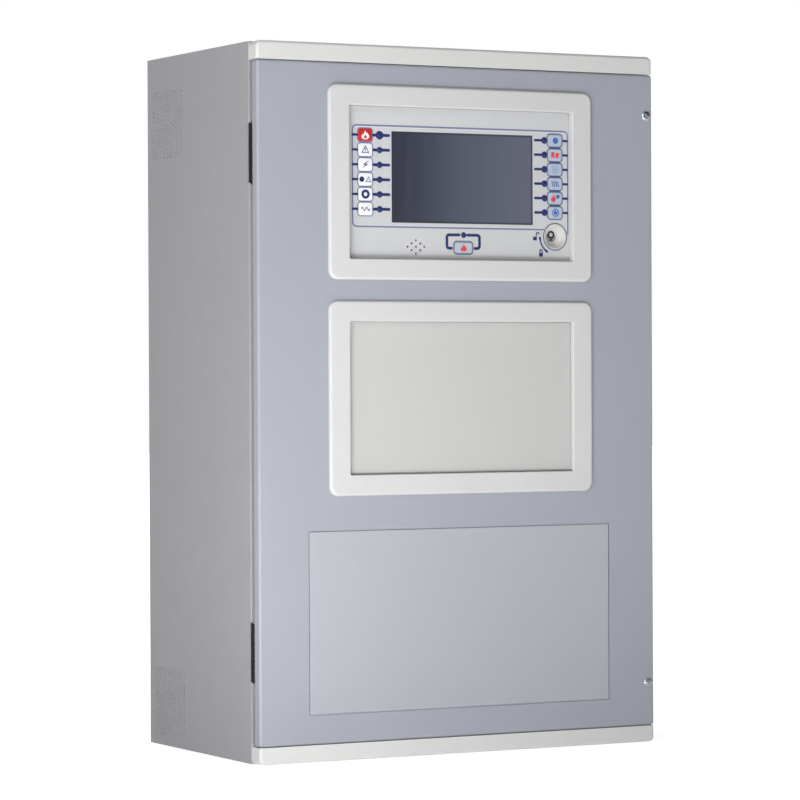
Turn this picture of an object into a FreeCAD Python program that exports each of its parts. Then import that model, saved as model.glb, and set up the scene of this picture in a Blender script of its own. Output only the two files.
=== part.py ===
"""Wall-mounted fire alarm control panel: sheet-steel cabinet, hinged door, display and control unit,
plug-in modules on a bus carrier, power supply, and two stand-by batteries.

Frame: millimetres, +Z up, +X to the right for a person facing the door, +Y into the wall.
The origin is the centre of the four wall-fixing holes, in the back face that lies on the wall.
"""

import FreeCAD
import Part
import math
import os

Vec = FreeCAD.Vector

# ---- driving dimensions -------------------------------------------------------------------------
WIDTH = 435.0
HEIGHT = 680.0
DEPTH = 252.0            # wall to the front face of the door
SHEET = 1.5              # steel sheet of the cabinet and door

SHOULDER_Y = -234.0      # front edge of the cabinet's sides
NECK_X = 203.5           # outer face of the neck that the door closes over
NECK_Z = 310.5
NECK_FRONT_Y = -246.0

TOP_TRIM_H = 17.6        # white strips above and below the door
BOTTOM_TRIM_H = 16.4
DOOR_GAP = 0.5           # between a strip and the door
DOOR_REAR_Y = -242.0     # rear edge of the door's folded rim

HINGE_X = -213.5         # hinge pin, flush with the left side
HINGE_Y = -235.5
HINGE_R = 4.0
HINGE_LENGTH = 55.0
HINGE_ZS = (235.0, -235.0)

FASTENER_X = 210.4       # quarter-turn fasteners at the door's free edge
FASTENER_ZS = (281.0, -281.0)

UNIT_W, UNIT_H = 289.4, 185.4        # white bezel of a front unit
UNIT_OPEN_W, UNIT_OPEN_H = 245.4, 145.5
UNIT_X = 1.0             # middle of the front units, a little right of the door's middle
UNIT_FRONT_Y = -255.3
DISPLAY_Z = 209.0
BLANK_Z = 3.7
COVER_Z = -208.5
COVER_W, COVER_H = 329.2, 172.4
APERTURE_W, APERTURE_H = 254.0, 152.5

FASCIA_Y = -248.0        # front face of the display unit's fascia
FASCIA_T = 2.5
BLANK_PLATE_Y = -250.0
SCREEN_X, SCREEN_Z = 4.7, 214.9
SCREEN_W, SCREEN_H = 156.0, 87.3
ROW_PITCH = 14.1         # indicator and button rows
TOP_ROW_Z = 254.2
LAMP_X = -101.7
LAMP_LED_X = -86.2
BUTTON_X = 107.5
BUTTON_LED_X = 95.8
ALARM_X, ALARM_Z = SCREEN_X, 148.1
ALARM_LED_Z = 160.4
SOUND_X, SOUND_Z = -47.1, 148.4
KEY_X, KEY_Z = 107.6, 160.2
BOARD_Y = -233.0         # front face of the display unit's circuit board
BOARD_T = 1.6

SLOT_PITCH = 48.0        # plug-in module pitch on the carrier
SLOTS = 8
CARRIER_Z = 175.0
MODULE_Z0, MODULE_Z1 = 90.0, 260.0
MODULE_BACK_Y, MODULE_STEP_Y, MODULE_FRONT_Y = -16.5, -78.0, -104.0
RIBBON_HALF = 17.0       # half the width of the flat cable

BATTERY_W, BATTERY_D, BATTERY_H = 166.0, 175.0, 125.0
BATTERY_GAP = 12.0
BATTERY_FRONT_Y = -184.0
SHELF_TOP_Z = -337.0

WALL_HOLE_X, WALL_HOLE_Z, WALL_HOLE_R = 180.0, 305.0, 3.5

HALF_W, HALF_H = WIDTH / 2, HEIGHT / 2
DOOR_TOP = HALF_H - TOP_TRIM_H - DOOR_GAP
DOOR_BOTTOM = -HALF_H + BOTTOM_TRIM_H + DOOR_GAP
DOOR_MIDDLE, DOOR_H = (DOOR_TOP + DOOR_BOTTOM) / 2, DOOR_TOP - DOOR_BOTTOM
ROW_ZS = [TOP_ROW_Z - ROW_PITCH * i for i in range(6)]


# ---- small helpers ------------------------------------------------------------------------------
def box(x0, x1, y0, y1, z0, z1):
    """Box between three pairs of coordinates."""
    return Part.makeBox(x1 - x0, y1 - y0, z1 - z0, Vec(x0, y0, z0))


def block(cx, cz, w, h, y0, y1):
    """Box centred on (cx, cz) in the plane of the door, from y0 to y1."""
    return box(cx - w / 2, cx + w / 2, y0, y1, cz - h / 2, cz + h / 2)


def rod_y(x, z, r, y0, y1):
    """Cylinder along Y."""
    return Part.makeCylinder(r, y1 - y0, Vec(x, y0, z), Vec(0, 1, 0))


def rod_z(x, y, r, z0, z1):
    """Cylinder along Z."""
    return Part.makeCylinder(r, z1 - z0, Vec(x, y, z0), Vec(0, 0, 1))


def rod_x(y, z, r, x0, x1):
    """Cylinder along X."""
    return Part.makeCylinder(r, x1 - x0, Vec(x0, y, z), Vec(1, 0, 0))


def rounded_wire(cx, cz, w, h, r, y):
    """Rectangle with round corners, centred on (cx, cz) in the plane at y."""
    x0, x1, z0, z1 = cx - w / 2, cx + w / 2, cz - h / 2, cz + h / 2
    k = r * (1 - math.sqrt(0.5))
    edges = []
    corners = [
        ((x0 + r, z0), (x1 - r, z0), (x1 - k, z0 + k), (x1, z0 + r)),
        ((x1, z0 + r), (x1, z1 - r), (x1 - k, z1 - k), (x1 - r, z1)),
        ((x1 - r, z1), (x0 + r, z1), (x0 + k, z1 - k), (x0, z1 - r)),
        ((x0, z1 - r), (x0, z0 + r), (x0 + k, z0 + k), (x0 + r, z0)),
    ]
    for start, end, middle, after in corners:
        a, b, m, c = (Vec(px, y, pz) for px, pz in (start, end, middle, after))
        edges.append(Part.LineSegment(a, b).toShape())
        edges.append(Part.Arc(b, m, c).toShape())
    return Part.Wire(edges)


def plate(cx, cz, w, h, r, y0, y1):
    """Plate with round corners in the plane of the door, from y0 to y1."""
    return Part.Face(rounded_wire(cx, cz, w, h, r, y0)).extrude(Vec(0, y1 - y0, 0))


def prism_x(profile, x0, x1):
    """Extrusion along X of a closed outline of (y, z) points."""
    points = [Vec(x0, y, z) for y, z in profile]
    return Part.Face(Part.makePolygon(points + points[:1])).extrude(Vec(x1 - x0, 0, 0))


def prism_z(profile, z0, z1):
    """Extrusion along Z of a closed outline of (x, y) points."""
    points = [Vec(x, y, z0) for x, y in profile]
    return Part.Face(Part.makePolygon(points + points[:1])).extrude(Vec(0, 0, z1 - z0))


def turned(x, z, profile):
    """Solid of revolution about the Y line through (x, z), from (radius, y) points."""
    points = [Vec(x + r, y, z) for r, y in profile]
    face = Part.Face(Part.makePolygon(points + points[:1]))
    return face.revolve(Vec(x, 0, z), Vec(0, 1, 0), 360)


def soften(shape, radius, picks):
    """Fillet of the edges that the test picks."""
    return shape.makeFillet(radius, [e for e in shape.Edges if picks(e)])


def along(axis, tolerance=1e-6):
    """Test for straight edges that run along an axis, given as 0, 1 or 2."""
    def test(edge):
        box_ = edge.BoundBox
        spans = (box_.XLength, box_.YLength, box_.ZLength)
        others = [s for i, s in enumerate(spans) if i != axis]
        return spans[axis] > 0.1 and max(others) < tolerance
    return test


def tube(points, radius, share=0.45):
    """Round cable through the points: straight runs joined by tangent arcs as large as the runs allow."""
    knots = [Vec(*p) for p in points]
    edges = []
    radii = []
    start = knots[0]
    for before, here, after in zip(knots, knots[1:], knots[2:]):
        back, ahead = (before - here), (after - here)
        cut = share * min(back.Length, ahead.Length)
        a = here + back.normalize() * cut
        b = here + ahead.normalize() * cut
        half = back.getAngle(ahead) / 2
        bend = cut * math.tan(half)
        inward = (back + ahead).normalize()
        middle = here + inward * (cut / math.cos(half) - bend)
        edges.append(Part.LineSegment(start, a).toShape())
        edges.append(Part.Arc(a, middle, b).toShape())
        radii.append(bend)
        start = b
    edges.append(Part.LineSegment(start, knots[-1]).toShape())
    path = Part.Wire(edges)
    print(f"cable of radius {radius}: length {path.Length:.0f}, bends {[round(r) for r in radii]}")
    direction = knots[1] - knots[0]
    ring = Part.Wire(Part.makeCircle(radius, knots[0], direction))
    return path.makePipeShell([ring], True, False)


def band(points, thickness, z0, z1, bend):
    """Flat cable standing on edge: its middle line follows (x, y) points with rounded corners."""
    knots = [Vec(x, y, z0) for x, y in points]
    edges = []
    start = knots[0]
    for before, here, after in zip(knots, knots[1:], knots[2:]):
        back, ahead = (before - here).normalize(), (after - here).normalize()
        half = back.getAngle(ahead) / 2
        cut = bend / math.tan(half)
        middle = here + (back + ahead).normalize() * (bend / math.sin(half) - bend)
        a, b = here + back * cut, here + ahead * cut
        edges += [Part.LineSegment(start, a).toShape(), Part.Arc(a, middle, b).toShape()]
        start = b
    edges.append(Part.LineSegment(start, knots[-1]).toShape())
    outline = Part.Wire(edges).makeOffset2D(thickness / 2, 0, False, False)
    return Part.Face(outline).extrude(Vec(0, 0, z1 - z0))


def group(solids):
    """Separate solids that share one node."""
    return Part.Compound(list(solids))


# ---- cabinet ------------------------------------------------------------------------------------
def back_panel():
    """Back sheet with four wall-fixing holes and the rear cable entry."""
    sheet = box(-HALF_W + SHEET, HALF_W - SHEET, -SHEET, 0, -HALF_H + SHEET, HALF_H - SHEET)
    for sx in (-1, 1):
        for sz in (-1, 1):
            sheet = sheet.cut(rod_y(sx * WALL_HOLE_X, sz * WALL_HOLE_Z, WALL_HOLE_R, -5, 5))
    return sheet.cut(plate(0, 290, 200, 36, 4, -5, 5))


VENT_Y, VENT_COLUMNS, VENT_ROWS, VENT_PITCH, VENT_R = -49.0, 17, 16, 4.2, 1.0
VENT_ZS = (273.5, -296.5)
DIMPLE_Y, DIMPLE_ZS = -138.0, (183.0, 26.0, -151.0, -242.0)
SIDE_NOTCH = 56.0        # hinge recess in the side's front edge
SIDE_NOTCH_Y = -230.5


def side_panel(side):
    """Side sheet with two perforated vents, weld dimples, and hinge recesses on the left."""
    outer_x = side * HALF_W
    inner_x = side * (HALF_W - SHEET)
    left = side < 0
    outline = [(0, -HALF_H), (0, HALF_H), (SHOULDER_Y, HALF_H)]
    for zc in HINGE_ZS if left else ():
        for z, y in ((0.5, SHOULDER_Y), (0.5, SIDE_NOTCH_Y), (-0.5, SIDE_NOTCH_Y), (-0.5, SHOULDER_Y)):
            outline.append((y, zc + z * SIDE_NOTCH))
    outline.append((SHOULDER_Y, -HALF_H))
    points = [Vec(inner_x, y, z) for y, z in outline]
    wires = [Part.makePolygon(points + points[:1])]
    for zc in VENT_ZS:
        for i in range(VENT_COLUMNS):
            for j in range(VENT_ROWS):
                y = VENT_Y + (i - (VENT_COLUMNS - 1) / 2) * VENT_PITCH
                z = zc + (j - (VENT_ROWS - 1) / 2 + (0.25 if i % 2 else -0.25)) * VENT_PITCH
                wires.append(Part.Wire(Part.makeCircle(VENT_R, Vec(inner_x, y, z), Vec(1, 0, 0))))
    sheet = Part.Face(wires, "Part::FaceMakerBullseye").extrude(Vec(outer_x - inner_x, 0, 0))
    dimple_r, dimple_depth = 6.5, 0.5
    for z in DIMPLE_ZS:
        centre = Vec(outer_x + side * (dimple_r - dimple_depth), DIMPLE_Y, z)
        sheet = sheet.cut(Part.makeSphere(dimple_r, centre))
    upright = along(2)
    return soften(sheet, 1.2, lambda e: upright(e) and abs(e.BoundBox.XMax - outer_x) < 1e-6
                  and min(abs(e.BoundBox.YMax), abs(e.BoundBox.YMax - SHOULDER_Y)) < 1e-6)


KNOCKOUT_XS = [-160 + 40 * i for i in range(9)]


def end_panel(side):
    """Top or bottom sheet, with two rows of half-punched cable knockouts."""
    outer = side * HALF_H
    inner = side * (HALF_H - SHEET)
    sheet = box(-HALF_W + SHEET, HALF_W - SHEET, SHOULDER_Y, 0, min(outer, inner), max(outer, inner))
    groove_r, groove_w, groove_depth = 10.25, 0.5, 0.8
    z0, z1 = sorted((outer - side * groove_depth, outer + side))
    for x in KNOCKOUT_XS:
        for y in (-45.0, -95.0):
            ring = rod_z(x, y, groove_r, z0, z1).cut(rod_z(x, y, groove_r - groove_w, z0, z1))
            sheet = sheet.cut(ring)
    return sheet


def fastener_hole(z):
    """Hole with two wings that lets a released fastener through the shoulder."""
    wings = block(FASTENER_X, z, 3.4, 10.4, SHOULDER_Y - 1, SHOULDER_Y + 5)
    return wings.fuse(rod_y(FASTENER_X, z, 3.3, SHOULDER_Y - 1, SHOULDER_Y + 5))


def front_frame():
    """Shoulder and neck folded around the cabinet's mouth."""
    mouth_w, mouth_h = 2 * (NECK_X - SHEET), 2 * (NECK_Z - SHEET)
    shoulder = box(-HALF_W + SHEET, HALF_W - SHEET, SHOULDER_Y, SHOULDER_Y + SHEET,
                   -HALF_H + SHEET, HALF_H - SHEET)
    neck = plate(0, 0, 2 * NECK_X, 2 * NECK_Z, 5, NECK_FRONT_Y, SHOULDER_Y + SHEET)
    frame = shoulder.fuse(neck).cut(plate(0, 0, mouth_w, mouth_h, 3.5, NECK_FRONT_Y - 1, SHOULDER_Y + 5))
    for z in FASTENER_ZS:
        frame = frame.cut(fastener_hole(z))
    notch = SIDE_NOTCH / 2 + 1
    for z in HINGE_ZS:
        frame = frame.cut(box(-HALF_W, -NECK_X - 4, SHOULDER_Y - 1, SHOULDER_Y + 5, z - notch, z + notch))
    return frame


def trim(side):
    """White strip across the top (side 1) or bottom (side -1) of the door, hollow from behind."""
    height = TOP_TRIM_H if side > 0 else BOTTOM_TRIM_H
    z_out, z_in = side * HALF_H, side * (HALF_H - height)
    z0, z1 = min(z_out, z_in), max(z_out, z_in)
    wall = 2.2
    shell = box(-HALF_W, HALF_W, -DEPTH, SHOULDER_Y, z0, z1)
    ends = along(1)
    shell = soften(shell, 5.5, lambda e: ends(e) and abs(e.BoundBox.ZMax - z_out) < 1e-6)
    front = -DEPTH
    shell = soften(shell, 3.0, lambda e: e.BoundBox.YMax < front + 1e-6
                   and not (along(0)(e) and abs(e.BoundBox.ZMax - z_in) < 1e-6))
    hollow = box(-HALF_W + wall, HALF_W - wall, front + wall, SHOULDER_Y + 1, z0 + wall, z1 - wall)
    shell = shell.cut(soften(hollow, 3.4, lambda e: ends(e) and abs(abs(e.BoundBox.ZMax) - HALF_H + wall) < 1e-6))
    zc = (z0 + z1) / 2
    for x in (-150, -50, 50, 150):
        web = box(x - 1, x + 1, front + wall, SHOULDER_Y, z0 + wall, z1 - wall)
        boss = rod_y(x, zc, 4.0, front + wall, SHOULDER_Y)
        shell = shell.fuse(web.fuse(boss))
    return shell.removeSplitter()


# ---- hinges -------------------------------------------------------------------------------------
KNUCKLES = 5
PIN_R = 2.0
LEAF_T = 2.0


def knuckle_spans(z, first):
    """Heights of every second knuckle, starting with the one numbered first."""
    step = HINGE_LENGTH / KNUCKLES
    low = z - HINGE_LENGTH / 2
    return [(low + step * i + 0.2, low + step * (i + 1) - 0.2) for i in range(first, KNUCKLES, 2)]


def hinge_leaf(z, on_door):
    """One hinge leaf: knuckles round the pin and a plate welded inside the sheet."""
    leaf_x = -HALF_W + SHEET
    z0, z1 = z - HINGE_LENGTH / 2, z + HINGE_LENGTH / 2
    y0, y1 = (-249.0, HINGE_Y - 6.8) if on_door else (HINGE_Y + 6.8, -214.0)
    leaf = box(leaf_x, leaf_x + LEAF_T, y0, y1, z0, z1)
    bore = PIN_R + (0.05 if on_door else 0.0)
    for a, b in knuckle_spans(z, 1 if on_door else 0):
        reach = sorted((HINGE_Y, y0 if on_door else y1))
        arm = box(leaf_x, leaf_x + LEAF_T, reach[0], reach[1], a, b)
        leaf = leaf.fuse(arm.fuse(rod_z(HINGE_X, HINGE_Y, HINGE_R, a, b)))
    return leaf.cut(rod_z(HINGE_X, HINGE_Y, bore, z0 - 1, z1 + 1)).removeSplitter()


def hinge_pin(z):
    """Steel pin through all five knuckles, with a small head on top."""
    half = HINGE_LENGTH / 2
    pin = rod_z(HINGE_X, HINGE_Y, PIN_R, z - half, z + half)
    return pin.fuse(rod_z(HINGE_X, HINGE_Y, 2.6, z + half, z + half + 0.8)).removeSplitter()


# ---- door ---------------------------------------------------------------------------------------
def door_panel():
    """Door tray with a folded rim, two unit apertures, and the opening for the flush cover."""
    tray = plate(0, DOOR_MIDDLE, WIDTH, DOOR_H, 3.0, -DEPTH, DOOR_REAR_Y)
    tray = soften(tray, 2.5, lambda e: e.BoundBox.YMax < -DEPTH + 1e-6)
    inner_w, inner_h = WIDTH - 2 * SHEET, DOOR_H - 2 * SHEET
    tray = tray.cut(plate(0, DOOR_MIDDLE, inner_w, inner_h, 1.5, -DEPTH + SHEET, DOOR_REAR_Y + 1))
    for z in (DISPLAY_Z, BLANK_Z):
        tray = tray.cut(plate(UNIT_X, z, APERTURE_W, APERTURE_H, 3, -DEPTH - 1, -DEPTH + 5))
    tray = tray.cut(plate(0, COVER_Z, COVER_W + 2, COVER_H + 2, 1.5, -DEPTH - 1, -DEPTH + 5))
    for z in FASTENER_ZS:
        tray = tray.cut(rod_y(FASTENER_X, z, 3.3, -DEPTH - 1, -DEPTH + 5))
    return tray


def door_gasket():
    """Foam seal on the inside of the door, facing the neck's front edge."""
    seal_w = 5.0
    middle_x, middle_z = NECK_X - SHEET / 2, NECK_Z - SHEET / 2
    y0, y1 = -DEPTH + SHEET, NECK_FRONT_Y - 0.3
    outer = plate(0, 0, 2 * middle_x + seal_w, 2 * middle_z + seal_w, 6, y0, y1)
    return outer.cut(plate(0, 0, 2 * middle_x - seal_w, 2 * middle_z - seal_w, 3, y0 - 1, y1 + 1))


def bezel(zc, ledge_y, collar_y):
    """White bezel of a front unit: rounded frame, collar through the door, and an inner ledge."""
    wall, ledge, ledge_t = 2.2, 1.5, 2.0
    frame = plate(UNIT_X, zc, UNIT_W, UNIT_H, 9.5, UNIT_FRONT_Y, -DEPTH)
    frame = soften(frame, 2.6, lambda e: e.BoundBox.YMax < UNIT_FRONT_Y + 1e-6)
    collar = plate(UNIT_X, zc, UNIT_OPEN_W + 2 * wall, UNIT_OPEN_H + 2 * wall, 3.0, -DEPTH, collar_y)
    shape = frame.fuse(collar)
    shape = shape.cut(plate(UNIT_X, zc, UNIT_OPEN_W, UNIT_OPEN_H, 1.2, UNIT_FRONT_Y - 1, ledge_y))
    shape = shape.cut(plate(UNIT_X, zc, UNIT_OPEN_W, UNIT_OPEN_H, 1.2, ledge_y + ledge_t, collar_y + 1))
    clear_w, clear_h = UNIT_OPEN_W - 2 * ledge, UNIT_OPEN_H - 2 * ledge
    shape = shape.cut(plate(UNIT_X, zc, clear_w, clear_h, 1.2, ledge_y - 1, collar_y))
    mouth = UNIT_OPEN_W / 2 + 0.1

    def inner_rim(edge):
        bounds = edge.BoundBox
        return bounds.YMax < UNIT_FRONT_Y + 1e-6 and bounds.XMax < UNIT_X + mouth and bounds.XMin > UNIT_X - mouth

    return soften(shape.removeSplitter(), 1.2, inner_rim)


def unit_clamps():
    """Eight clamps that grip the door sheet from behind, four on each front unit."""
    made = []
    for zc in (DISPLAY_Z, BLANK_Z):
        for sx in (-1, 1):
            for sz in (-1, 1):
                inner = zc + sz * (UNIT_OPEN_H / 2 + 2.2)
                z0, z1 = sorted((inner, inner + sz * 12))
                foot = box(sx * 80 - 9, sx * 80 + 9, -DEPTH + SHEET, -245.0, z0, z1)
                tower = box(sx * 80 - 9, sx * 80 + 9, -245.0, -238.0, *sorted((inner, inner + sz * 6)))
                made.append(foot.fuse(tower).removeSplitter())
    return group(made)


def key_hole_in(shape, y0, y1):
    """Cuts the round hole for the key well."""
    return shape.cut(rod_y(KEY_X, KEY_Z, 12.4, y0, y1))


SOUND_HOLES = [(0, 0), (4.6, 3.3), (4.6, -3.3), (-4.6, 3.3), (-4.6, -3.3), (9.2, 0), (-9.2, 0), (0, 6.4), (0, -6.4)]
BOARD_POSTS = [(-108, 62), (-108, -58), (0, 62), (112, 62), (-20, -62), (88, -62)]
LED_POINTS = ([(LAMP_LED_X, z) for z in ROW_ZS] + [(BUTTON_LED_X, z) for z in ROW_ZS]
              + [(ALARM_X, ALARM_LED_Z)])
LED_R = 1.6
BUTTON_W, BUTTON_H = 15.0, 11.4
ALARM_W, ALARM_H = 19.0, 10.4
CAP_GAP = 0.3            # between a button cap and the fascia, all round


def display_fascia():
    """Front plate of the display unit, with openings for the screen, keys, lamps and sounder."""
    rear = FASCIA_Y + FASCIA_T
    face = plate(UNIT_X, DISPLAY_Z, UNIT_OPEN_W - 0.6, UNIT_OPEN_H - 0.6, 1.0, FASCIA_Y, rear)
    through = (FASCIA_Y - 1, rear + 1)
    face = face.cut(plate(SCREEN_X, SCREEN_Z, SCREEN_W, SCREEN_H, 0.8, *through))
    for z in ROW_ZS:
        face = face.cut(plate(BUTTON_X, z, BUTTON_W + 2 * CAP_GAP, BUTTON_H + 2 * CAP_GAP, 2.6, *through))
        face = face.cut(plate(LAMP_X, z, 15.0, 12.2, 2.4, FASCIA_Y - 1, FASCIA_Y + 1.0))
    face = face.cut(plate(ALARM_X, ALARM_Z, ALARM_W + 2 * CAP_GAP, ALARM_H + 2 * CAP_GAP, 2.6, *through))
    for dx, dz in SOUND_HOLES:
        face = face.cut(rod_y(SOUND_X + dx, SOUND_Z + dz, 1.15, *through))
    for x, z in LED_POINTS:
        face = face.cut(rod_y(x, z, LED_R, *through))
    face = key_hole_in(face, *through)
    posts = [rod_y(dx, DISPLAY_Z + dz, 3.0, rear, BOARD_Y) for dx, dz in BOARD_POSTS]
    return face.fuse(posts).removeSplitter()


def display_window():
    """Glass of the touch screen, set just below the fascia's face."""
    return plate(SCREEN_X, SCREEN_Z, SCREEN_W - 0.2, SCREEN_H - 0.2, 0.7, FASCIA_Y + 0.4, FASCIA_Y + FASCIA_T)


def lcd_panel():
    """Liquid crystal module with its metal back."""
    front = FASCIA_Y + FASCIA_T
    can = plate(SCREEN_X, SCREEN_Z, 165, 100, 1.5, front, front + 5.7)
    return can.fuse(block(SCREEN_X, SCREEN_Z - 20, 60, 26, front + 5.7, front + 7.2)).removeSplitter()


def indicator_lenses():
    """Six status windows and thirteen small indicator lenses."""
    windows = []
    for z in ROW_ZS:
        lens = plate(LAMP_X, z, 14.8, 12.0, 2.3, FASCIA_Y - 0.3, FASCIA_Y + 1.0)
        windows.append(soften(lens, 0.25, lambda e: e.BoundBox.YMax < FASCIA_Y - 0.3 + 1e-6))
    domes = []
    for x, z in LED_POINTS:
        stem = rod_y(x, z, LED_R, FASCIA_Y, FASCIA_Y + 4.0)
        dome = Part.makeSphere(2.4, Vec(x, FASCIA_Y + 1.75, z)).common(rod_y(x, z, LED_R, FASCIA_Y - 2, FASCIA_Y + 1))
        domes.append(stem.fuse(dome).removeSplitter())
    return group(windows + domes)


def push_button(x, z, w, h):
    """Button cap with a retaining flange and a stem that reaches its switch."""
    front, rear = FASCIA_Y - 0.9, FASCIA_Y + FASCIA_T
    cap = plate(x, z, w, h, 2.4, front, rear + 0.3)
    cap = soften(cap, 0.6, lambda e: e.BoundBox.YMax < front + 1e-6)
    flange = plate(x, z, w + 2.2, h + 1.8, 2.0, rear + 0.2, rear + 1.2)
    stem = rod_y(x, z, 2.0, rear + 1.2, BOARD_Y - 3.1)
    return cap.fuse(flange.fuse(stem)).removeSplitter()


def cpu_board():
    """Circuit board of the display unit, notched round the key switch."""
    board = block(0, DISPLAY_Z, 232, 132, BOARD_Y, BOARD_Y + BOARD_T)
    return board.cut(box(94, 120, BOARD_Y - 1, BOARD_Y + 3, DISPLAY_Z - 70, DISPLAY_Z - 36))


def board_components():
    """Switches on the board's front, and chips, capacitors and connectors on its rear."""
    rear = BOARD_Y + BOARD_T
    made = [block(BUTTON_X, z, 6, 6, BOARD_Y - 2.2, BOARD_Y) for z in ROW_ZS]
    made.append(block(ALARM_X, ALARM_Z, 6, 6, BOARD_Y - 2.2, BOARD_Y))
    chips = [(-20, 30, 24, 24, 1.8), (30, 34, 20, 20, 1.6), (62, 12, 12, 10, 1.5), (-52, 38, 14, 9, 1.5),
             (18, -6, 16, 11, 1.6), (-18, -12, 10, 8, 1.4), (70, 44, 9, 9, 1.5)]
    made += [block(dx, DISPLAY_Z + dz, w, h, rear, rear + t) for dx, dz, w, h, t in chips]
    made += [rod_y(dx, DISPLAY_Z + dz, r, rear, rear + h)
             for dx, dz, r, h in ((-80, 40, 4, 11), (-80, 26, 4, 11), (48, -30, 5, 12), (62, -30, 5, 12))]
    made.append(block(-106, CARRIER_Z, 9, 2 * RIBBON_HALF + 4, rear, rear + 8))
    made += [block(dx, DISPLAY_Z - 56, 22, 12, rear, rear + 11) for dx in (-60, -34, 34)]
    made.append(block(20, DISPLAY_Z - 56, 13, 14, rear, rear + 9))
    return group(made)


def buzzer():
    """Round sounder behind the nine sound holes."""
    rear = FASCIA_Y + FASCIA_T
    body = rod_y(SOUND_X, SOUND_Z, 10.6, rear, rear + 9)
    chamber = rod_y(SOUND_X, SOUND_Z, 10.1, rear - 1, rear + 2)
    return body.cut(chamber)


KEY_FACE_Y = FASCIA_Y + 8.0
BARREL_R = 5.0


def key_well():
    """Round white well that leads the key to the switch."""
    y = FASCIA_Y
    return turned(KEY_X, KEY_Z, [(12.3, y), (12.3, y + 3), (10.4, y + 9.6), (BARREL_R + 0.05, y + 9.6),
                                 (BARREL_R + 0.05, y + 8), (7.6, y + 8), (9.0, y + 7.2), (10.0, y + 5.5),
                                 (11.2, y + 0.6), (11.5, y)])


def key_switch_body():
    """Body of the key switch behind the well, with two contact tags."""
    y0, y1 = FASCIA_Y + 9.6, FASCIA_Y + 34
    body = rod_y(KEY_X, KEY_Z, 9.0, y0, y1).cut(rod_y(KEY_X, KEY_Z, BARREL_R + 0.05, y0 - 1, y1 - 4))
    tags = [box(KEY_X + dx - 0.4, KEY_X + dx + 0.4, y1, y1 + 7, KEY_Z - 2.5, KEY_Z + 2.5) for dx in (-4, 4)]
    return body.fuse(tags).removeSplitter()


def key_barrel():
    """Turning barrel with its keyway."""
    barrel = rod_y(KEY_X, KEY_Z, BARREL_R, KEY_FACE_Y, FASCIA_Y + 29.5)
    barrel = soften(barrel, 0.4, lambda e: e.BoundBox.YMax < KEY_FACE_Y + 1e-6)
    keyway = block(KEY_X, KEY_Z - 0.9, 1.6, 5.6, KEY_FACE_Y - 1, KEY_FACE_Y + 14)
    eye = rod_y(KEY_X, KEY_Z + 1.6, 1.5, KEY_FACE_Y - 1, KEY_FACE_Y + 14)
    return barrel.cut(keyway.fuse(eye))


def blank_plate():
    """Plain insert of the empty middle unit."""
    width, height = UNIT_OPEN_W - 0.6, UNIT_OPEN_H - 0.6
    insert = plate(UNIT_X, BLANK_Z, width, height, 1.0, BLANK_PLATE_Y, BLANK_PLATE_Y + 2)
    return soften(insert, 0.4, lambda e: e.BoundBox.YMax < BLANK_PLATE_Y + 1e-6)


def cover_plate():
    """Flush cover of the lower opening, with a wider flange behind the door sheet."""
    y = -DEPTH
    front = plate(0, COVER_Z, COVER_W, COVER_H, 0.8, y, y + SHEET)
    front = soften(front, 0.3, lambda e: e.BoundBox.YMax < y + 1e-6)
    flange = plate(0, COVER_Z, COVER_W + 16, COVER_H + 16, 3, y + SHEET, y + SHEET + 1.2)
    return front.fuse(flange).removeSplitter()


def pan_screw_y(x, z, y_head, length, r=1.5, head_r=3.0, head_t=2.0):
    """Pan-head screw whose head faces the door's inside or the cabinet's front; the shank runs back."""
    head = rod_y(x, z, head_r, y_head - head_t, y_head)
    head = soften(head, 0.7, lambda e: e.BoundBox.YMax < y_head - head_t + 1e-6)
    recess = block(x, z, 0.9, head_r * 1.5, y_head - head_t - 1, y_head - head_t + 0.9)
    cross = block(x, z, head_r * 1.5, 0.9, y_head - head_t - 1, y_head - head_t + 0.9)
    shape = head.cut(recess.fuse(cross))
    if length:
        shape = shape.fuse(rod_y(x, z, r, y_head, y_head + length))
    return shape


def rear_screw(x, z, y_seat, head_r=3.0, head_t=2.2):
    """Screw head that sits on a rear face, seen from inside the open door."""
    head = rod_y(x, z, head_r, y_seat, y_seat + head_t)
    head = soften(head, 0.7, lambda e: e.BoundBox.YMin > y_seat + head_t - 1e-6)
    slot = block(x, z, 0.9, head_r * 1.5, y_seat + head_t - 0.9, y_seat + head_t + 1)
    return head.cut(slot.fuse(block(x, z, head_r * 1.5, 0.9, y_seat + head_t - 0.9, y_seat + head_t + 1)))


def door_screws():
    """Screws seen on the inside of the door: board, clamps and cover."""
    made = [rear_screw(dx, DISPLAY_Z + dz, BOARD_Y + BOARD_T) for dx, dz in BOARD_POSTS]
    for zc in (DISPLAY_Z, BLANK_Z):
        for sx in (-1, 1):
            for sz in (-1, 1):
                made.append(rear_screw(sx * 80, zc + sz * (UNIT_OPEN_H / 2 + 2.2 + 9), -245.0, 2.6))
    cover_rear = -DEPTH + SHEET + 1.2
    for x in (-168.5, 0, 168.5):
        for sz in (-1, 1):
            made.append(rear_screw(x, COVER_Z + sz * (COVER_H / 2 + 4), cover_rear))
    made.append(rod_y(-180, -100, 3.0, -DEPTH + SHEET, -238.0))
    return group(made)


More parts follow.
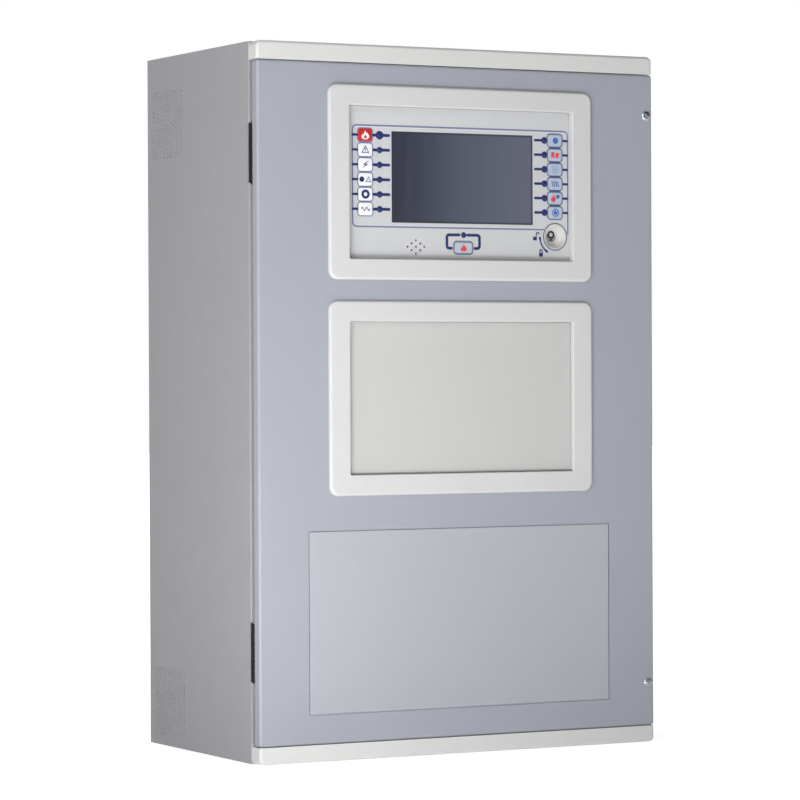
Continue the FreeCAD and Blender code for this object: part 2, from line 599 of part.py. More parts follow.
def door_fastener(z, slot_angle):
    """Slotted quarter-turn fastener: domed head, stem through the door, and two locking wings."""
    head_y = -DEPTH
    head = turned(FASTENER_X, z, [(0, head_y), (4.8, head_y), (4.8, head_y - 0.6), (4.1, head_y - 1.3),
                                  (3.0, head_y - 1.7), (0, head_y - 1.9)])
    slot = block(0, 0, 1.5, 11, head_y - 3, head_y - 0.7)
    slot.rotate(Vec(0, 0, 0), Vec(0, 1, 0), slot_angle)
    slot.translate(Vec(FASTENER_X, 0, z))
    stem = rod_y(FASTENER_X, z, 3.0, head_y, -229.0)
    clip = rod_y(FASTENER_X, z, 4.0, head_y + SHEET + 0.2, head_y + SHEET + 1.2)
    wings = block(FASTENER_X, z, 2.4, 9.4, -231.6, -229.6)
    return head.cut(slot).fuse([stem, clip, wings]).removeSplitter()


# ---- modules and bus ----------------------------------------------------------------------------
def slot_x(i):
    """Centre of a module position; a half number is the middle of two positions."""
    return (i - (SLOTS - 1) / 2) * SLOT_PITCH


def module_carrier():
    """Moulded carrier with hook rails and dividers for eight module positions."""
    half = SLOTS * SLOT_PITCH / 2 + 1
    base = box(-half, half, -5.5, -SHEET, CARRIER_Z - 47, CARRIER_Z + 47)
    parts = []
    for sz in (-1, 1):
        parts.append(box(-half, half, -16, -5.5, *sorted((CARRIER_Z + sz * 41, CARRIER_Z + sz * 47))))
        for i in range(SLOTS + 1):
            x = slot_x(i - 0.5)
            parts.append(box(x - 1, x + 1, -13, -5.5, *sorted((CARRIER_Z + sz * 20, CARRIER_Z + sz * 41))))
    for i in range(SLOTS):
        parts.append(box(slot_x(i) - 4, slot_x(i) + 4, -6.5, -5.5, CARRIER_Z - 6, CARRIER_Z + 6))
    return base.fuse(parts).removeSplitter()


def bus_board():
    """Long circuit board that links the module positions."""
    return box(-190, 190, -8.1, -6.5, CARRIER_Z - 15, CARRIER_Z + 15)


def bus_sockets():
    """Eight bus sockets and the flat-cable header at the left end."""
    made = []
    for i in range(SLOTS):
        body = block(slot_x(i), CARRIER_Z, 36, 9, -16.1, -8.1)
        made.append(body.cut(block(slot_x(i), CARRIER_Z, 32, 2.6, -17, -11)))
    made.append(box(-201, -193.2, -18, -6, CARRIER_Z - RIBBON_HALF - 2, CARRIER_Z + RIBBON_HALF + 2))
    return group(made)


MODULE_PROFILE = [(MODULE_BACK_Y, MODULE_Z0), (MODULE_STEP_Y, MODULE_Z0), (MODULE_STEP_Y, MODULE_Z0 + 20),
                  (MODULE_FRONT_Y, MODULE_Z0 + 20), (MODULE_FRONT_Y, MODULE_Z1 - 20),
                  (MODULE_STEP_Y, MODULE_Z1 - 20), (MODULE_STEP_Y, MODULE_Z1), (MODULE_BACK_Y, MODULE_Z1)]


def module_shell(xc, width):
    """Stepped housing of a plug-in module, with rounded front edges."""
    shell = prism_x(MODULE_PROFILE, xc - width / 2, xc + width / 2)
    upright = along(2)
    return soften(shell, 1.5, lambda e: upright(e) and e.BoundBox.YMax < MODULE_FRONT_Y + 1e-6)


def plug_in_module(slot):
    """Single-width module with a label recess, indicator holes and side vents."""
    xc = slot_x(slot)
    shell = module_shell(xc, SLOT_PITCH - 1.5)
    shell = shell.cut(plate(xc, 190, 34, 56, 1.5, MODULE_FRONT_Y - 1, MODULE_FRONT_Y + 0.6))
    for i in range(5):
        shell = shell.cut(rod_y(xc - 12 + 6 * i, 148, 1.5, MODULE_FRONT_Y - 1, MODULE_FRONT_Y + 3))
    for i in range(5):
        shell = shell.cut(block(xc, 118 + 4.5 * i, 30, 1.8, MODULE_FRONT_Y - 1, MODULE_FRONT_Y + 3))
    return shell.cut(block(xc, 175, 35, 124, MODULE_FRONT_Y + 8, MODULE_BACK_Y - 6))


def power_module():
    """Double-width power and charger module with a ribbed front."""
    xc, width = slot_x(0.5), 2 * SLOT_PITCH - 1.5
    shell = module_shell(xc, width)
    for i in range(12):
        x = xc - 38.5 + 7 * i
        shell = shell.cut(box(x - 1.6, x + 1.6, MODULE_FRONT_Y - 1, MODULE_FRONT_Y + 9, 160, 232))
    for i in range(4):
        shell = shell.cut(rod_y(xc - 15 + 10 * i, 146, 1.5, MODULE_FRONT_Y - 1, MODULE_FRONT_Y + 3))
    return shell.cut(plate(xc, 127, 80, 22, 1.5, MODULE_FRONT_Y - 1, MODULE_FRONT_Y + 0.6))


TERMINAL_XS = [slot_x(0.5) - 22, slot_x(0.5) + 22, slot_x(2), slot_x(3), slot_x(4)]
WAYS = 7
WAY_PITCH = 5.08


def terminal_strip(xc, zc, side):
    """Pluggable terminal strip: a screw well in front and a wire entry on its outer edge for each way."""
    y0, y1 = MODULE_STEP_Y - 12, MODULE_STEP_Y
    strip = block(xc, zc, WAYS * WAY_PITCH + 1.5, 15, y0, y1)
    cuts = []
    for i in range(WAYS):
        x = xc + (i - (WAYS - 1) / 2) * WAY_PITCH
        cuts.append(rod_y(x, zc - side * 2.5, 1.8, y0 - 1, y0 + 4))
        outer = zc + side * 7.5
        cuts.append(box(x - 1.7, x + 1.7, y0 + 4, y0 + 8.5, *sorted((outer - side * 5, outer + side))))
    return strip.cut(Part.Compound(cuts))


def module_terminals():
    """Terminal strips on the upper and lower steps of the modules."""
    made = []
    for x in TERMINAL_XS:
        made.append(terminal_strip(x, MODULE_Z0 + 10, -1))
        made.append(terminal_strip(x, MODULE_Z1 - 10, 1))
    return group(made)


# ---- power supply and mains ---------------------------------------------------------------------
PSU_X0, PSU_X1, PSU_Z0, PSU_Z1, PSU_D = -185.0, 15.0, -95.0, 5.0, 42.0


def power_supply_case():
    """Switched-mode supply in a slotted steel case, with its terminal strip at the right end."""
    front_y = -SHEET - PSU_D
    case = box(PSU_X0, PSU_X1, front_y, -SHEET, PSU_Z0, PSU_Z1)
    case = case.cut(box(PSU_X0 + 1.2, PSU_X1 - 1.2, front_y + 1.2, -SHEET - 1.2, PSU_Z0 + 1.2, PSU_Z1 - 1.2))
    slots = []
    for i in range(20):
        for j in range(4):
            slots.append(plate(PSU_X0 + 18 + 7.5 * i, PSU_Z0 + 17 + 22 * j, 3, 15, 1.4, front_y - 1, front_y + 2))
    case = case.cut(Part.Compound(slots))
    strip = box(PSU_X1 - 30, PSU_X1 - 4, front_y - 9, front_y, PSU_Z0 + 8, PSU_Z1 - 8)
    wells = [rod_y(PSU_X1 - 17, PSU_Z0 + 18 + 9.2 * i, 3.0, front_y - 10, front_y - 4) for i in range(8)]
    return case.fuse(strip.cut(Part.Compound(wells))).removeSplitter()


MAINS_X0, MAINS_X1, MAINS_Z0, MAINS_Z1, MAINS_Y = 60.0, 152.0, -82.0, -30.0, -38.0
FUSE_X0, FUSE_X1 = 90.0, 103.0
FUSE_PIVOT_Y, FUSE_PIVOT_Z = -29.0, -76.0


def mains_terminal_block():
    """Mains terminals beside a low seat for the fuse carrier, between two pivot ears."""
    block_ = box(MAINS_X0, MAINS_X1, MAINS_Y, -SHEET, MAINS_Z0, MAINS_Z1)
    block_ = block_.cut(box(FUSE_X0, FUSE_X1, MAINS_Y - 1, -25.0, MAINS_Z0 - 1, MAINS_Z1 + 1))
    cuts = []
    for i in range(8):
        x = MAINS_X0 + 7 + 11.2 * i
        if FUSE_X0 - 6 < x < FUSE_X1 + 6:
            continue
        for z in (MAINS_Z0 + 12, MAINS_Z1 - 12):
            cuts.append(rod_y(x, z, 3.2, MAINS_Y - 1, MAINS_Y + 10))
    block_ = block_.cut(Part.Compound(cuts))
    return block_.cut(rod_x(FUSE_PIVOT_Y, FUSE_PIVOT_Z, 1.56, FUSE_X0 - 4, FUSE_X1 + 4))


def fuse_carrier():
    """Hinged lever that holds the mains fuse and swings out to change it."""
    x0, x1 = FUSE_X0 + 0.5, FUSE_X1 - 0.5
    heel = rod_x(FUSE_PIVOT_Y, FUSE_PIVOT_Z, 3.6, x0, x1)
    body = box(x0, x1, -46, -25.4, FUSE_PIVOT_Z, MAINS_Z1 - 1)
    body = soften(body, 2.0, lambda e: along(0)(e) and e.BoundBox.YMax < -45)
    grip = [box(x0 - 1, x1 + 1, -47, -43, MAINS_Z1 - 14 + 3 * i, MAINS_Z1 - 12.6 + 3 * i) for i in range(4)]
    pin = rod_x(FUSE_PIVOT_Y, FUSE_PIVOT_Z, 1.5, FUSE_X0 - 3, FUSE_X1 + 3)
    return body.cut(Part.Compound(grip)).fuse([heel, pin]).removeSplitter()


# ---- batteries ----------------------------------------------------------------------------------
def battery_centre(side):
    """X of a battery's middle."""
    return side * (BATTERY_GAP + BATTERY_W) / 2


def battery_shelf():
    """Sheet tray on the floor of the cabinet, with a raised lip on three sides."""
    floor_z, lip_z = SHELF_TOP_Z - SHEET, SHELF_TOP_Z + 16
    x, y0, y1 = 178.0, -192.0, -4.0
    tray = box(-x, x, y0, y1, floor_z, SHELF_TOP_Z)
    lips = [box(-x, x, y0, y0 + SHEET, floor_z, lip_z), box(-x, -x + SHEET, y0, y1, floor_z, lip_z),
            box(x - SHEET, x, y0, y1, floor_z, lip_z)]
    return tray.fuse(lips).removeSplitter()


def battery(side):
    """Battery case with its lid line and two sunk terminal seats; the inside is hollow."""
    xc = battery_centre(side)
    x0, x1 = xc - BATTERY_W / 2, xc + BATTERY_W / 2
    y0, y1 = BATTERY_FRONT_Y, BATTERY_FRONT_Y + BATTERY_D
    z0, z1 = SHELF_TOP_Z, SHELF_TOP_Z + BATTERY_H
    wall = 3.0
    case = soften(box(x0, x1, y0, y1, z0, z1), 3.0, along(2))
    case = case.cut(box(x0 + wall, x1 - wall, y0 + wall, y1 - wall, z0 + wall, z1 - 14))
    lid_z = z1 - 22
    rim = box(x0 - 1, x1 + 1, y0 - 1, y1 + 1, lid_z, lid_z + 1.0)
    case = case.cut(rim.cut(box(x0 + 0.8, x1 - 0.8, y0 + 0.8, y1 - 0.8, lid_z - 1, lid_z + 2)))
    for dx in (-1, 1):
        seat_x = xc + dx * (BATTERY_W / 2 - 17)
        case = case.cut(box(seat_x - 12, seat_x + 12, y0 - 1, y0 + 24, z1 - 6, z1 + 1))
    return case


CELLS, PLATES_PER_CELL = 6, 5


def battery_plates():
    """Lead plate packs, six cells in each battery."""
    made = []
    for side in (-1, 1):
        for i in range(CELLS):
            cell_x = battery_centre(side) + (i - (CELLS - 1) / 2) * 26.0
            for j in range(PLATES_PER_CELL):
                x = cell_x + (j - (PLATES_PER_CELL - 1) / 2) * 4.4
                made.append(box(x - 1.1, x + 1.1, BATTERY_FRONT_Y + 10, BATTERY_FRONT_Y + 165,
                                SHELF_TOP_Z + 3, SHELF_TOP_Z + 98))
    return group(made)


def terminal_points():
    """Battery terminal positions, from left to right: plus, minus, plus, minus."""
    return [battery_centre(side) + dx * (BATTERY_W / 2 - 17) for side in (-1, 1) for dx in (-1, 1)]


TERMINAL_Y = BATTERY_FRONT_Y + 12
TERMINAL_Z = SHELF_TOP_Z + BATTERY_H - 6


def battery_terminals():
    """Bolted terminal posts with flat tabs."""
    made = []
    for x in terminal_points():
        post = rod_z(x, TERMINAL_Y, 6.5, TERMINAL_Z, TERMINAL_Z + 2.5)
        bolt = prism_z([(x + 4.6 * math.cos(a), TERMINAL_Y + 4.6 * math.sin(a))
                        for a in (math.pi / 3 * i for i in range(6))], TERMINAL_Z + 2.5, TERMINAL_Z + 6.5)
        made.append(post.fuse(bolt).removeSplitter())
    return group(made)


def battery_bar():
    """Retaining bar in front of the batteries, fixed to the cabinet's sides."""
    half = HALF_W - SHEET
    y = BATTERY_FRONT_Y - 3
    bar = box(-half, half, y - SHEET, y, -292, -266)
    tabs = [box(-half, -half + SHEET, y - SHEET, y + 22, -292, -266),
            box(half - SHEET, half, y - SHEET, y + 22, -292, -266)]
    return bar.fuse(tabs).removeSplitter()


# ---- wiring -------------------------------------------------------------------------------------
LEAD_R = 1.7
ENTRY_Y = MODULE_STEP_Y - 5.75       # wire entries of the modules' lower terminal strips
ENTRY_Z = MODULE_Z0 + 5.5


def lead_routes():
    """Battery leads: plus to the power module, link between batteries, minus to the power module."""
    plus, link_a, link_b, minus = terminal_points()
    z = TERMINAL_Z + 4
    y = TERMINAL_Y
    plus_way, minus_way = (TERMINAL_XS[0] + dx * WAY_PITCH for dx in (-1, 1))
    red = [(plus - 6.5, y, z), (plus - 10, y, z + 8), (plus - 18, y + 2, z + 18), (plus - 31, y + 8, z + 32),
           (-197, y + 16, z + 62), (-201, y + 26, z + 105), (-203, y + 38, z + 150), (-202, y + 52, z + 195),
           (-197, y + 67, z + 238), (-187, y + 79, z + 268), (-177, y + 85, z + 289),
           (plus_way, ENTRY_Y - 1, ENTRY_Z - 14), (plus_way, ENTRY_Y, ENTRY_Z)]
    link = [(link_a + 6.5, y, z), (link_a + 9, y, z + 8), (link_a + 16, y - 2, z + 16), (0, y - 3, z + 19.5),
            (link_b - 16, y - 2, z + 16), (link_b - 9, y, z + 8), (link_b - 6.5, y, z)]
    black = [(minus - 6.5, y, z), (minus - 10, y, z + 8), (minus - 19, y + 3, z + 17), (minus - 36, y + 8, z + 27),
             (82, y + 16, z + 41), (36, y + 23, z + 52), (-14, y + 29, z + 62), (-64, y + 33, z + 74),
             (-112, y + 36, z + 93), (-152, y + 38, z + 120), (-178, y + 43, z + 156), (-189, y + 51, z + 198),
             (-187, y + 63, z + 238), (-176, y + 77, z + 270), (-165, y + 85, z + 291),
             (minus_way, ENTRY_Y - 1, ENTRY_Z - 14), (minus_way, ENTRY_Y, ENTRY_Z)]
    return [red, link, black]


def battery_leads():
    """Red and black leads of the batteries."""
    return group(tube(route, LEAD_R) for route in lead_routes())


def power_leads():
    """Leads from the mains block to the supply, and from the supply up to the power module."""
    made = []
    strip_y = -SHEET - PSU_D - 9
    for i in range(3):
        z = PSU_Z0 + 18 + 9.2 * i
        x = MAINS_X0 + 7 + 11.2 * min(i, 1)
        z_block = MAINS_Z0 + 12 if i < 2 else MAINS_Z1 - 12
        made.append(tube([(PSU_X1 - 17, strip_y + 3, z), (PSU_X1 - 16, strip_y - 8, z),
                          (PSU_X1 + 2, strip_y - 14 - 2 * i, z + 1), (PSU_X1 + 24, strip_y - 14 - 2 * i, z_block - 1),
                          (x - 4, strip_y - 8, z_block), (x, MAINS_Y - 6, z_block), (x, MAINS_Y + 6, z_block)], 1.5))
    for i in range(2):
        z = PSU_Z0 + 18 + 9.2 * (5 + i)
        x_top = slot_x(0.5) + 22 - WAY_PITCH * (2 - 3 * i)
        made.append(tube([(PSU_X1 - 17, strip_y + 3, z), (PSU_X1 - 18, strip_y - 9, z),
                          (PSU_X1 - 40, strip_y - 16 - 5 * i, z + 10), (PSU_X1 - 80 + 14 * i, strip_y - 22, 20 + 6 * i),
                          (x_top + 10, strip_y - 26, 52 + 4 * i), (x_top, ENTRY_Y - 1, 76),
                          (x_top, ENTRY_Y, ENTRY_Z)], 1.5))
    return group(made)


RIBBON_ROUTE = [(-102, -222.9), (-190, -222.9), (-205.5, -203), (-205.5, -168), (-160, -140),
                (-205.5, -112), (-205.5, -34), (-197, -18.5)]


def ribbon_cable():
    """Flat cable from the display unit, round the hinge side, to the bus board's header."""
    return band(RIBBON_ROUTE, 0.9, CARRIER_Z - RIBBON_HALF, CARRIER_Z + RIBBON_HALF, 8.0)


EARTH_ROUTE = [(-180, -243.5, -103.7), (-180.5, -240.5, -115), (-182, -233, -128), (-185, -222, -139),
               (-189, -209, -145), (-194, -197, -145), (-199, -187, -139), (-204, -180, -129),
               (-208, -176.5, -116), (-210.5, -176, -103.7)]


def earth_strap():
    """Protective earth lead from the door stud to the cabinet's side."""
    return tube(EARTH_ROUTE, 1.8)


def cabinet_screws():
    """Screws of the carrier, the supply and the mains block, and the earth studs."""
    made = []
    for x in (-186, 0, 186):
        for sz in (-1, 1):
            if x == 0:
                continue
            made.append(pan_screw_y(x, CARRIER_Z + sz * 31, -5.5, 0))
    for x in (MAINS_X0 + 46.0 + 4, MAINS_X1 - 4):
        made.append(pan_screw_y(x, (MAINS_Z0 + MAINS_Z1) / 2, MAINS_Y, 0, head_r=2.6))
    for z in (-120.0, -145.0):
        stud = rod_y(185, z, 3.0, -20, -SHEET)
        nut = prism_y_hex(185, z, 5.5, -9.0, -4.0)
        washer = rod_y(185, z, 6.5, -4.0, -SHEET)
        made.append(stud.fuse([nut, washer]).removeSplitter())
    side = rod_x(-176, -100, 3.0, -HALF_W + SHEET, -207.0)
    made.append(side.fuse(rod_x(-176, -100, 5.5, -HALF_W + SHEET, -213.5)).removeSplitter())
    return group(made)


def prism_y_hex(x, z, r, y0, y1):
    """Hexagonal prism along Y."""
    corners = [Vec(x + r * math.cos(math.pi / 3 * i), y0, z + r * math.sin(math.pi / 3 * i)) for i in range(6)]
    return Part.Face(Part.makePolygon(corners + corners[:1])).extrude(Vec(0, y1 - y0, 0))


# ---- every node ---------------------------------------------------------------------------------
NODES = {
    "back_panel": back_panel,
    "left_side_panel": lambda: side_panel(-1),
    "right_side_panel": lambda: side_panel(1),
    "top_panel": lambda: end_panel(1),
    "bottom_panel": lambda: end_panel(-1),
    "front_frame": front_frame,
    "top_trim": lambda: trim(1),
    "bottom_trim": lambda: trim(-1),
    "hinge_cabinet_leaves": lambda: group(hinge_leaf(z, False) for z in HINGE_ZS),
    "hinge_door_leaves": lambda: group(hinge_leaf(z, True) for z in HINGE_ZS),
    "hinge_pins": lambda: group(hinge_pin(z) for z in HINGE_ZS),
    "door_panel": door_panel,
    "door_gasket": door_gasket,
    "display_bezel": lambda: bezel(DISPLAY_Z, FASCIA_Y + FASCIA_T, -236.0),
    "blank_bezel": lambda: bezel(BLANK_Z, BLANK_PLATE_Y + 2, -240.0),
    "unit_clamps": unit_clamps,
    "display_fascia": display_fascia,
    "display_window": display_window,
    "lcd_panel": lcd_panel,
    "indicator_lenses": indicator_lenses,
    "cpu_board": cpu_board,
    "board_components": board_components,
    "buzzer": buzzer,
    "key_well": key_well,
    "key_switch_body": key_switch_body,
    "key_barrel": key_barrel,
    "alarm_button": lambda: push_button(ALARM_X, ALARM_Z, ALARM_W, ALARM_H),
    "blank_plate": blank_plate,
    "cover_plate": cover_plate,
    "door_screws": door_screws,
    "door_fastener_upper": lambda: door_fastener(FASTENER_ZS[0], 130),
    "door_fastener_lower": lambda: door_fastener(FASTENER_ZS[1], 165),
    "module_carrier": module_carrier,
    "bus_board": bus_board,
    "bus_sockets": bus_sockets,
    "power_module": power_module,
    "loop_module_1": lambda: plug_in_module(2),
    "loop_module_2": lambda: plug_in_module(3),
    "relay_module": lambda: plug_in_module(4),
    "module_terminals": module_terminals,
    "power_supply_case": power_supply_case,
    "mains_terminal_block": mains_terminal_block,
    "fuse_carrier": fuse_carrier,
    "battery_shelf": battery_shelf,
    "battery_left": lambda: battery(-1),
    "battery_right": lambda: battery(1),
    "battery_plates": battery_plates,
    "battery_terminals": battery_terminals,
    "battery_bar": battery_bar,
    "battery_leads": battery_leads,
    "power_leads": power_leads,
    "ribbon_cable": ribbon_cable,
    "earth_strap": earth_strap,
    "cabinet_screws": cabinet_screws,
}
for number, row_z in enumerate(ROW_ZS, start=1):
    NODES[f"soft_button_{number}"] = lambda z=row_z: push_button(BUTTON_X, z, BUTTON_W, BUTTON_H)


def main():
    """Builds each node, checks it, and writes its STEP file."""
    os.makedirs("parts", exist_ok=True)
    for name, make in NODES.items():
        shape = make()
        solids = shape.Solids
        if not solids or not all(s.isValid() and s.isClosed() and s.Volume > 0 for s in solids):
            raise RuntimeError(f"{name} isn't made of sound closed solids")
        shape.exportStep(os.path.join("parts", name + ".step"))
        print(f"{name:24s} {len(solids):3d} solids  {shape.Volume / 1000:9.1f} cm3")


main()
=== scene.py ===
"""Looks of the fire alarm control panel: materials, printed marks, inside wiring, light and camera."""

import math

import bmesh
import bpy
from mathutils import Matrix, Vector


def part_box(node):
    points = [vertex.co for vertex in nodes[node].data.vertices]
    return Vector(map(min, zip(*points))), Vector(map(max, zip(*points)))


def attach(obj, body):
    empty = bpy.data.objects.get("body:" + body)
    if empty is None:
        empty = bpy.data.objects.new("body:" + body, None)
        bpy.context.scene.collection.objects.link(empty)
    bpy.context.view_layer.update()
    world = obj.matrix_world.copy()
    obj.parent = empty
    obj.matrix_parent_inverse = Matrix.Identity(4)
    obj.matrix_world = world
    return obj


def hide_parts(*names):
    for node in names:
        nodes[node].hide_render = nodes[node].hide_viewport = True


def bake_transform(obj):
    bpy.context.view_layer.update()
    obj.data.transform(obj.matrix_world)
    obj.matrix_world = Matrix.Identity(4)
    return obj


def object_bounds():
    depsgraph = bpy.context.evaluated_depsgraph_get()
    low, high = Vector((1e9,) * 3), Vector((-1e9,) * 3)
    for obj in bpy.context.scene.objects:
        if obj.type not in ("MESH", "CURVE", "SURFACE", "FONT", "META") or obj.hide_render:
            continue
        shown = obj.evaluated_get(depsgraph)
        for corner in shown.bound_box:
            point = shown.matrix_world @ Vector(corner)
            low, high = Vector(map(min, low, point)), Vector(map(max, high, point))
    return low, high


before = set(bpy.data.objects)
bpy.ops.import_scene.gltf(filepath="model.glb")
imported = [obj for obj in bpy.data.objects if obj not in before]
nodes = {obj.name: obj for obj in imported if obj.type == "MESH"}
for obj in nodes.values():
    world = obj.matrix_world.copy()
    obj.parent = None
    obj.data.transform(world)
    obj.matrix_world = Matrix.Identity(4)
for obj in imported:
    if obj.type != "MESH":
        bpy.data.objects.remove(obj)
cad_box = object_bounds()

MM = 0.001


def srgb(r, g, b):
    """Colour from 0-255 display values, as linear numbers with alpha."""
    def linear(v):
        v /= 255
        return v / 12.92 if v <= 0.04045 else ((v + 0.055) / 1.055) ** 2.4
    return (linear(r), linear(g), linear(b), 1.0)


# ---- materials ----------------------------------------------------------------------------------
class Shader:
    """A Principled material with helpers for layered noise, in the object's own coordinates."""

    def __init__(self, name, colour, roughness, metallic=0.0, **sockets):
        self.material = bpy.data.materials.new(name)
        self.material.use_nodes = True
        self.tree = self.material.node_tree
        self.bsdf = self.tree.nodes["Principled BSDF"]
        self.bsdf.inputs["Base Color"].default_value = colour
        self.bsdf.inputs["Roughness"].default_value = roughness
        self.bsdf.inputs["Metallic"].default_value = metallic
        for key, value in sockets.items():
            self.bsdf.inputs[key.replace("_", " ")].default_value = value
        self.coordinates = self.node("ShaderNodeTexCoord").outputs["Object"]
        self.colour = colour
        self.colour_out = None
        self.normal_out = None
        self.roughness = roughness

    def node(self, kind, **settings):
        made = self.tree.nodes.new(kind)
        for key, value in settings.items():
            setattr(made, key, value)
        return made

    def link(self, a, b):
        self.tree.links.new(a, b)

    def noise(self, scale, detail=2.0, stretch=None):
        """Noise from 0 to 1, its features 1/scale metres across, optionally stretched per axis."""
        source = self.coordinates
        if stretch:
            mapping = self.node("ShaderNodeMapping")
            mapping.inputs["Scale"].default_value = stretch
            self.link(source, mapping.inputs["Vector"])
            source = mapping.outputs["Vector"]
        texture = self.node("ShaderNodeTexNoise")
        texture.inputs["Scale"].default_value = scale
        texture.inputs["Detail"].default_value = detail
        self.link(source, texture.inputs["Vector"])
        return texture.outputs[0]

    def axis(self, index):
        """One coordinate in metres."""
        split = self.node("ShaderNodeSeparateXYZ")
        self.link(self.coordinates, split.inputs[0])
        return split.outputs[index]

    def ramp(self, value, low, high, to_low=0.0, to_high=1.0, smooth=False):
        """Maps a value's span to another, clamped."""
        span = self.node("ShaderNodeMapRange")
        if smooth:
            span.interpolation_type = "SMOOTHSTEP"
        for key, number in (("From Min", low), ("From Max", high), ("To Min", to_low), ("To Max", to_high)):
            span.inputs[key].default_value = number
        self.link(value, span.inputs["Value"])
        return span.outputs["Result"]

    def math(self, operation, a, b=0.0):
        made = self.node("ShaderNodeMath", operation=operation)
        for socket, value in zip(made.inputs, (a, b)):
            if isinstance(value, (int, float)):
                socket.default_value = value
            else:
                self.link(value, socket)
        return made.outputs[0]

    def tint(self, factor, colour):
        """Blends another colour over the base colour."""
        mix = self.node("ShaderNodeMix", data_type="RGBA")
        self.link(factor, mix.inputs[0])
        if self.colour_out is None:
            mix.inputs[6].default_value = self.colour
        else:
            self.link(self.colour_out, mix.inputs[6])
        mix.inputs[7].default_value = colour
        self.colour_out = mix.outputs[2]
        self.link(self.colour_out, self.bsdf.inputs["Base Color"])
        return self

    def gloss(self, factor, low, high):
        """Roughness that follows a noise."""
        self.link(self.ramp(factor, 0.3, 0.7, low, high), self.bsdf.inputs["Roughness"])
        return self

    def bump(self, height, distance, strength=1.0):
        """Raises the surface by a height pattern, on top of any earlier one."""
        made = self.node("ShaderNodeBump")
        made.inputs["Strength"].default_value = strength
        made.inputs["Distance"].default_value = distance
        self.link(height, made.inputs["Height"])
        if self.normal_out is not None:
            self.link(self.normal_out, made.inputs["Normal"])
        self.normal_out = made.outputs["Normal"]
        self.link(self.normal_out, self.bsdf.inputs["Normal"])
        return self


def scaled(colour, k):
    """Colour made lighter or darker."""
    return tuple(min(1.0, c * k) for c in colour[:3]) + (1.0,)


def powder_coat(name, colour, roughness=0.42, peel=0.00007):
    """Powder-coated steel: orange peel, fine grain, faint clouds, and small dull marks."""
    s = Shader(name, colour, roughness, Specular_IOR_Level=0.42)
    s.tint(s.ramp(s.noise(6.0, 3.0), 0.35, 0.7, 0.0, 0.5), scaled(colour, 0.965))
    s.tint(s.ramp(s.noise(2600.0, 1.0), 0.5, 0.75, 0.0, 0.35), scaled(colour, 0.9))
    s.tint(s.ramp(s.noise(1900.0, 1.0), 0.55, 0.8, 0.0, 0.3), scaled(colour, 1.1))
    s.gloss(s.noise(45.0, 4.0), roughness - 0.05, roughness + 0.07)
    s.bump(s.noise(650.0, 2.0), peel)
    s.bump(s.noise(2600.0, 1.0), peel * 0.22)
    return s


def moulded(name, colour, roughness=0.5, grain=0.000025, scale=2400.0, **sockets):
    """Moulded plastic with a fine spark-eroded grain."""
    s = Shader(name, colour, roughness, **sockets)
    s.tint(s.ramp(s.noise(9.0, 3.0), 0.4, 0.7, 0.0, 0.5), scaled(colour, 0.975))
    s.gloss(s.noise(60.0, 3.0), roughness - 0.05, roughness + 0.06)
    s.bump(s.noise(scale, 2.0), grain)
    return s


def metal(name, colour, roughness=0.32, brush=(1, 1, 40), scale=90.0, depth=0.00002):
    """Plated or brushed metal with a fine direction."""
    s = Shader(name, colour, roughness, metallic=1.0)
    s.tint(s.ramp(s.noise(30.0, 4.0), 0.4, 0.75, 0.0, 0.55), scaled(colour, 0.75))
    s.gloss(s.noise(scale, 4.0, brush), roughness - 0.08, roughness + 0.14)
    s.bump(s.noise(scale * 4, 2.0, brush), depth)
    return s


door_paint = powder_coat("door_paint", srgb(158, 161, 171), 0.4)
cabinet_paint = powder_coat("cabinet_paint", srgb(157, 157, 161), 0.46)
cover_paint = powder_coat("cover_paint", srgb(170, 171, 178), 0.4, 0.00005)
white_plastic = moulded("white_plastic", srgb(202, 202, 202), 0.46)
strip_plastic = moulded("strip_plastic", srgb(208, 209, 207), 0.44)
fascia_foil = moulded("fascia_foil", srgb(196, 197, 199), 0.4, 0.00002, 3200.0)
print_light = moulded("print_light", srgb(214, 215, 217), 0.42, 0.00002, 3200.0)
blank_finish = moulded("blank_finish", srgb(190, 190, 188), 0.42, 0.00003, 1500.0)
key_white = moulded("key_white", srgb(206, 205, 202), 0.4)
navy = moulded("print_navy", srgb(32, 44, 98), 0.4, 0.00001, 3200.0)
slate = moulded("print_slate", srgb(112, 120, 156), 0.42, 0.00001, 3200.0)
slate_grey = moulded("print_slate_grey", srgb(112, 120, 140), 0.42, 0.00001, 3200.0)
alarm_grey = moulded("print_alarm_grey", srgb(120, 125, 140), 0.42, 0.00001, 3200.0)
navy_slate = moulded("print_navy_slate", srgb(72, 82, 128), 0.4, 0.00001, 3200.0)
red_print = moulded("print_red", srgb(196, 42, 34), 0.36, 0.00001, 3200.0)
white_print = moulded("print_white", srgb(238, 239, 240), 0.36, 0.00001, 3200.0)
blue_print = moulded("print_blue", srgb(62, 104, 172), 0.4, 0.00001, 3200.0)
pale_blue_print = moulded("print_pale_blue", srgb(140, 168, 208), 0.4, 0.00001, 3200.0)
soft_red_print = moulded("print_soft_red", srgb(222, 66, 66), 0.4, 0.00001, 3200.0)
button_rubber = moulded("button_rubber", srgb(174, 185, 202), 0.5, 0.00002, 2600.0)
lens_smoke = moulded("lens_smoke", srgb(40, 52, 104), 0.2, 0.000004, 900.0)
hinge_black = powder_coat("hinge_black", srgb(9, 9, 12), 0.6, 0.00004)
foam = moulded("foam", srgb(40, 40, 42), 0.9, 0.0002, 900.0)
black_plastic = moulded("black_plastic", srgb(38, 38, 41), 0.5)
nickel = metal("nickel", srgb(186, 190, 200), 0.28)
zinc = metal("zinc", srgb(188, 190, 188), 0.36)
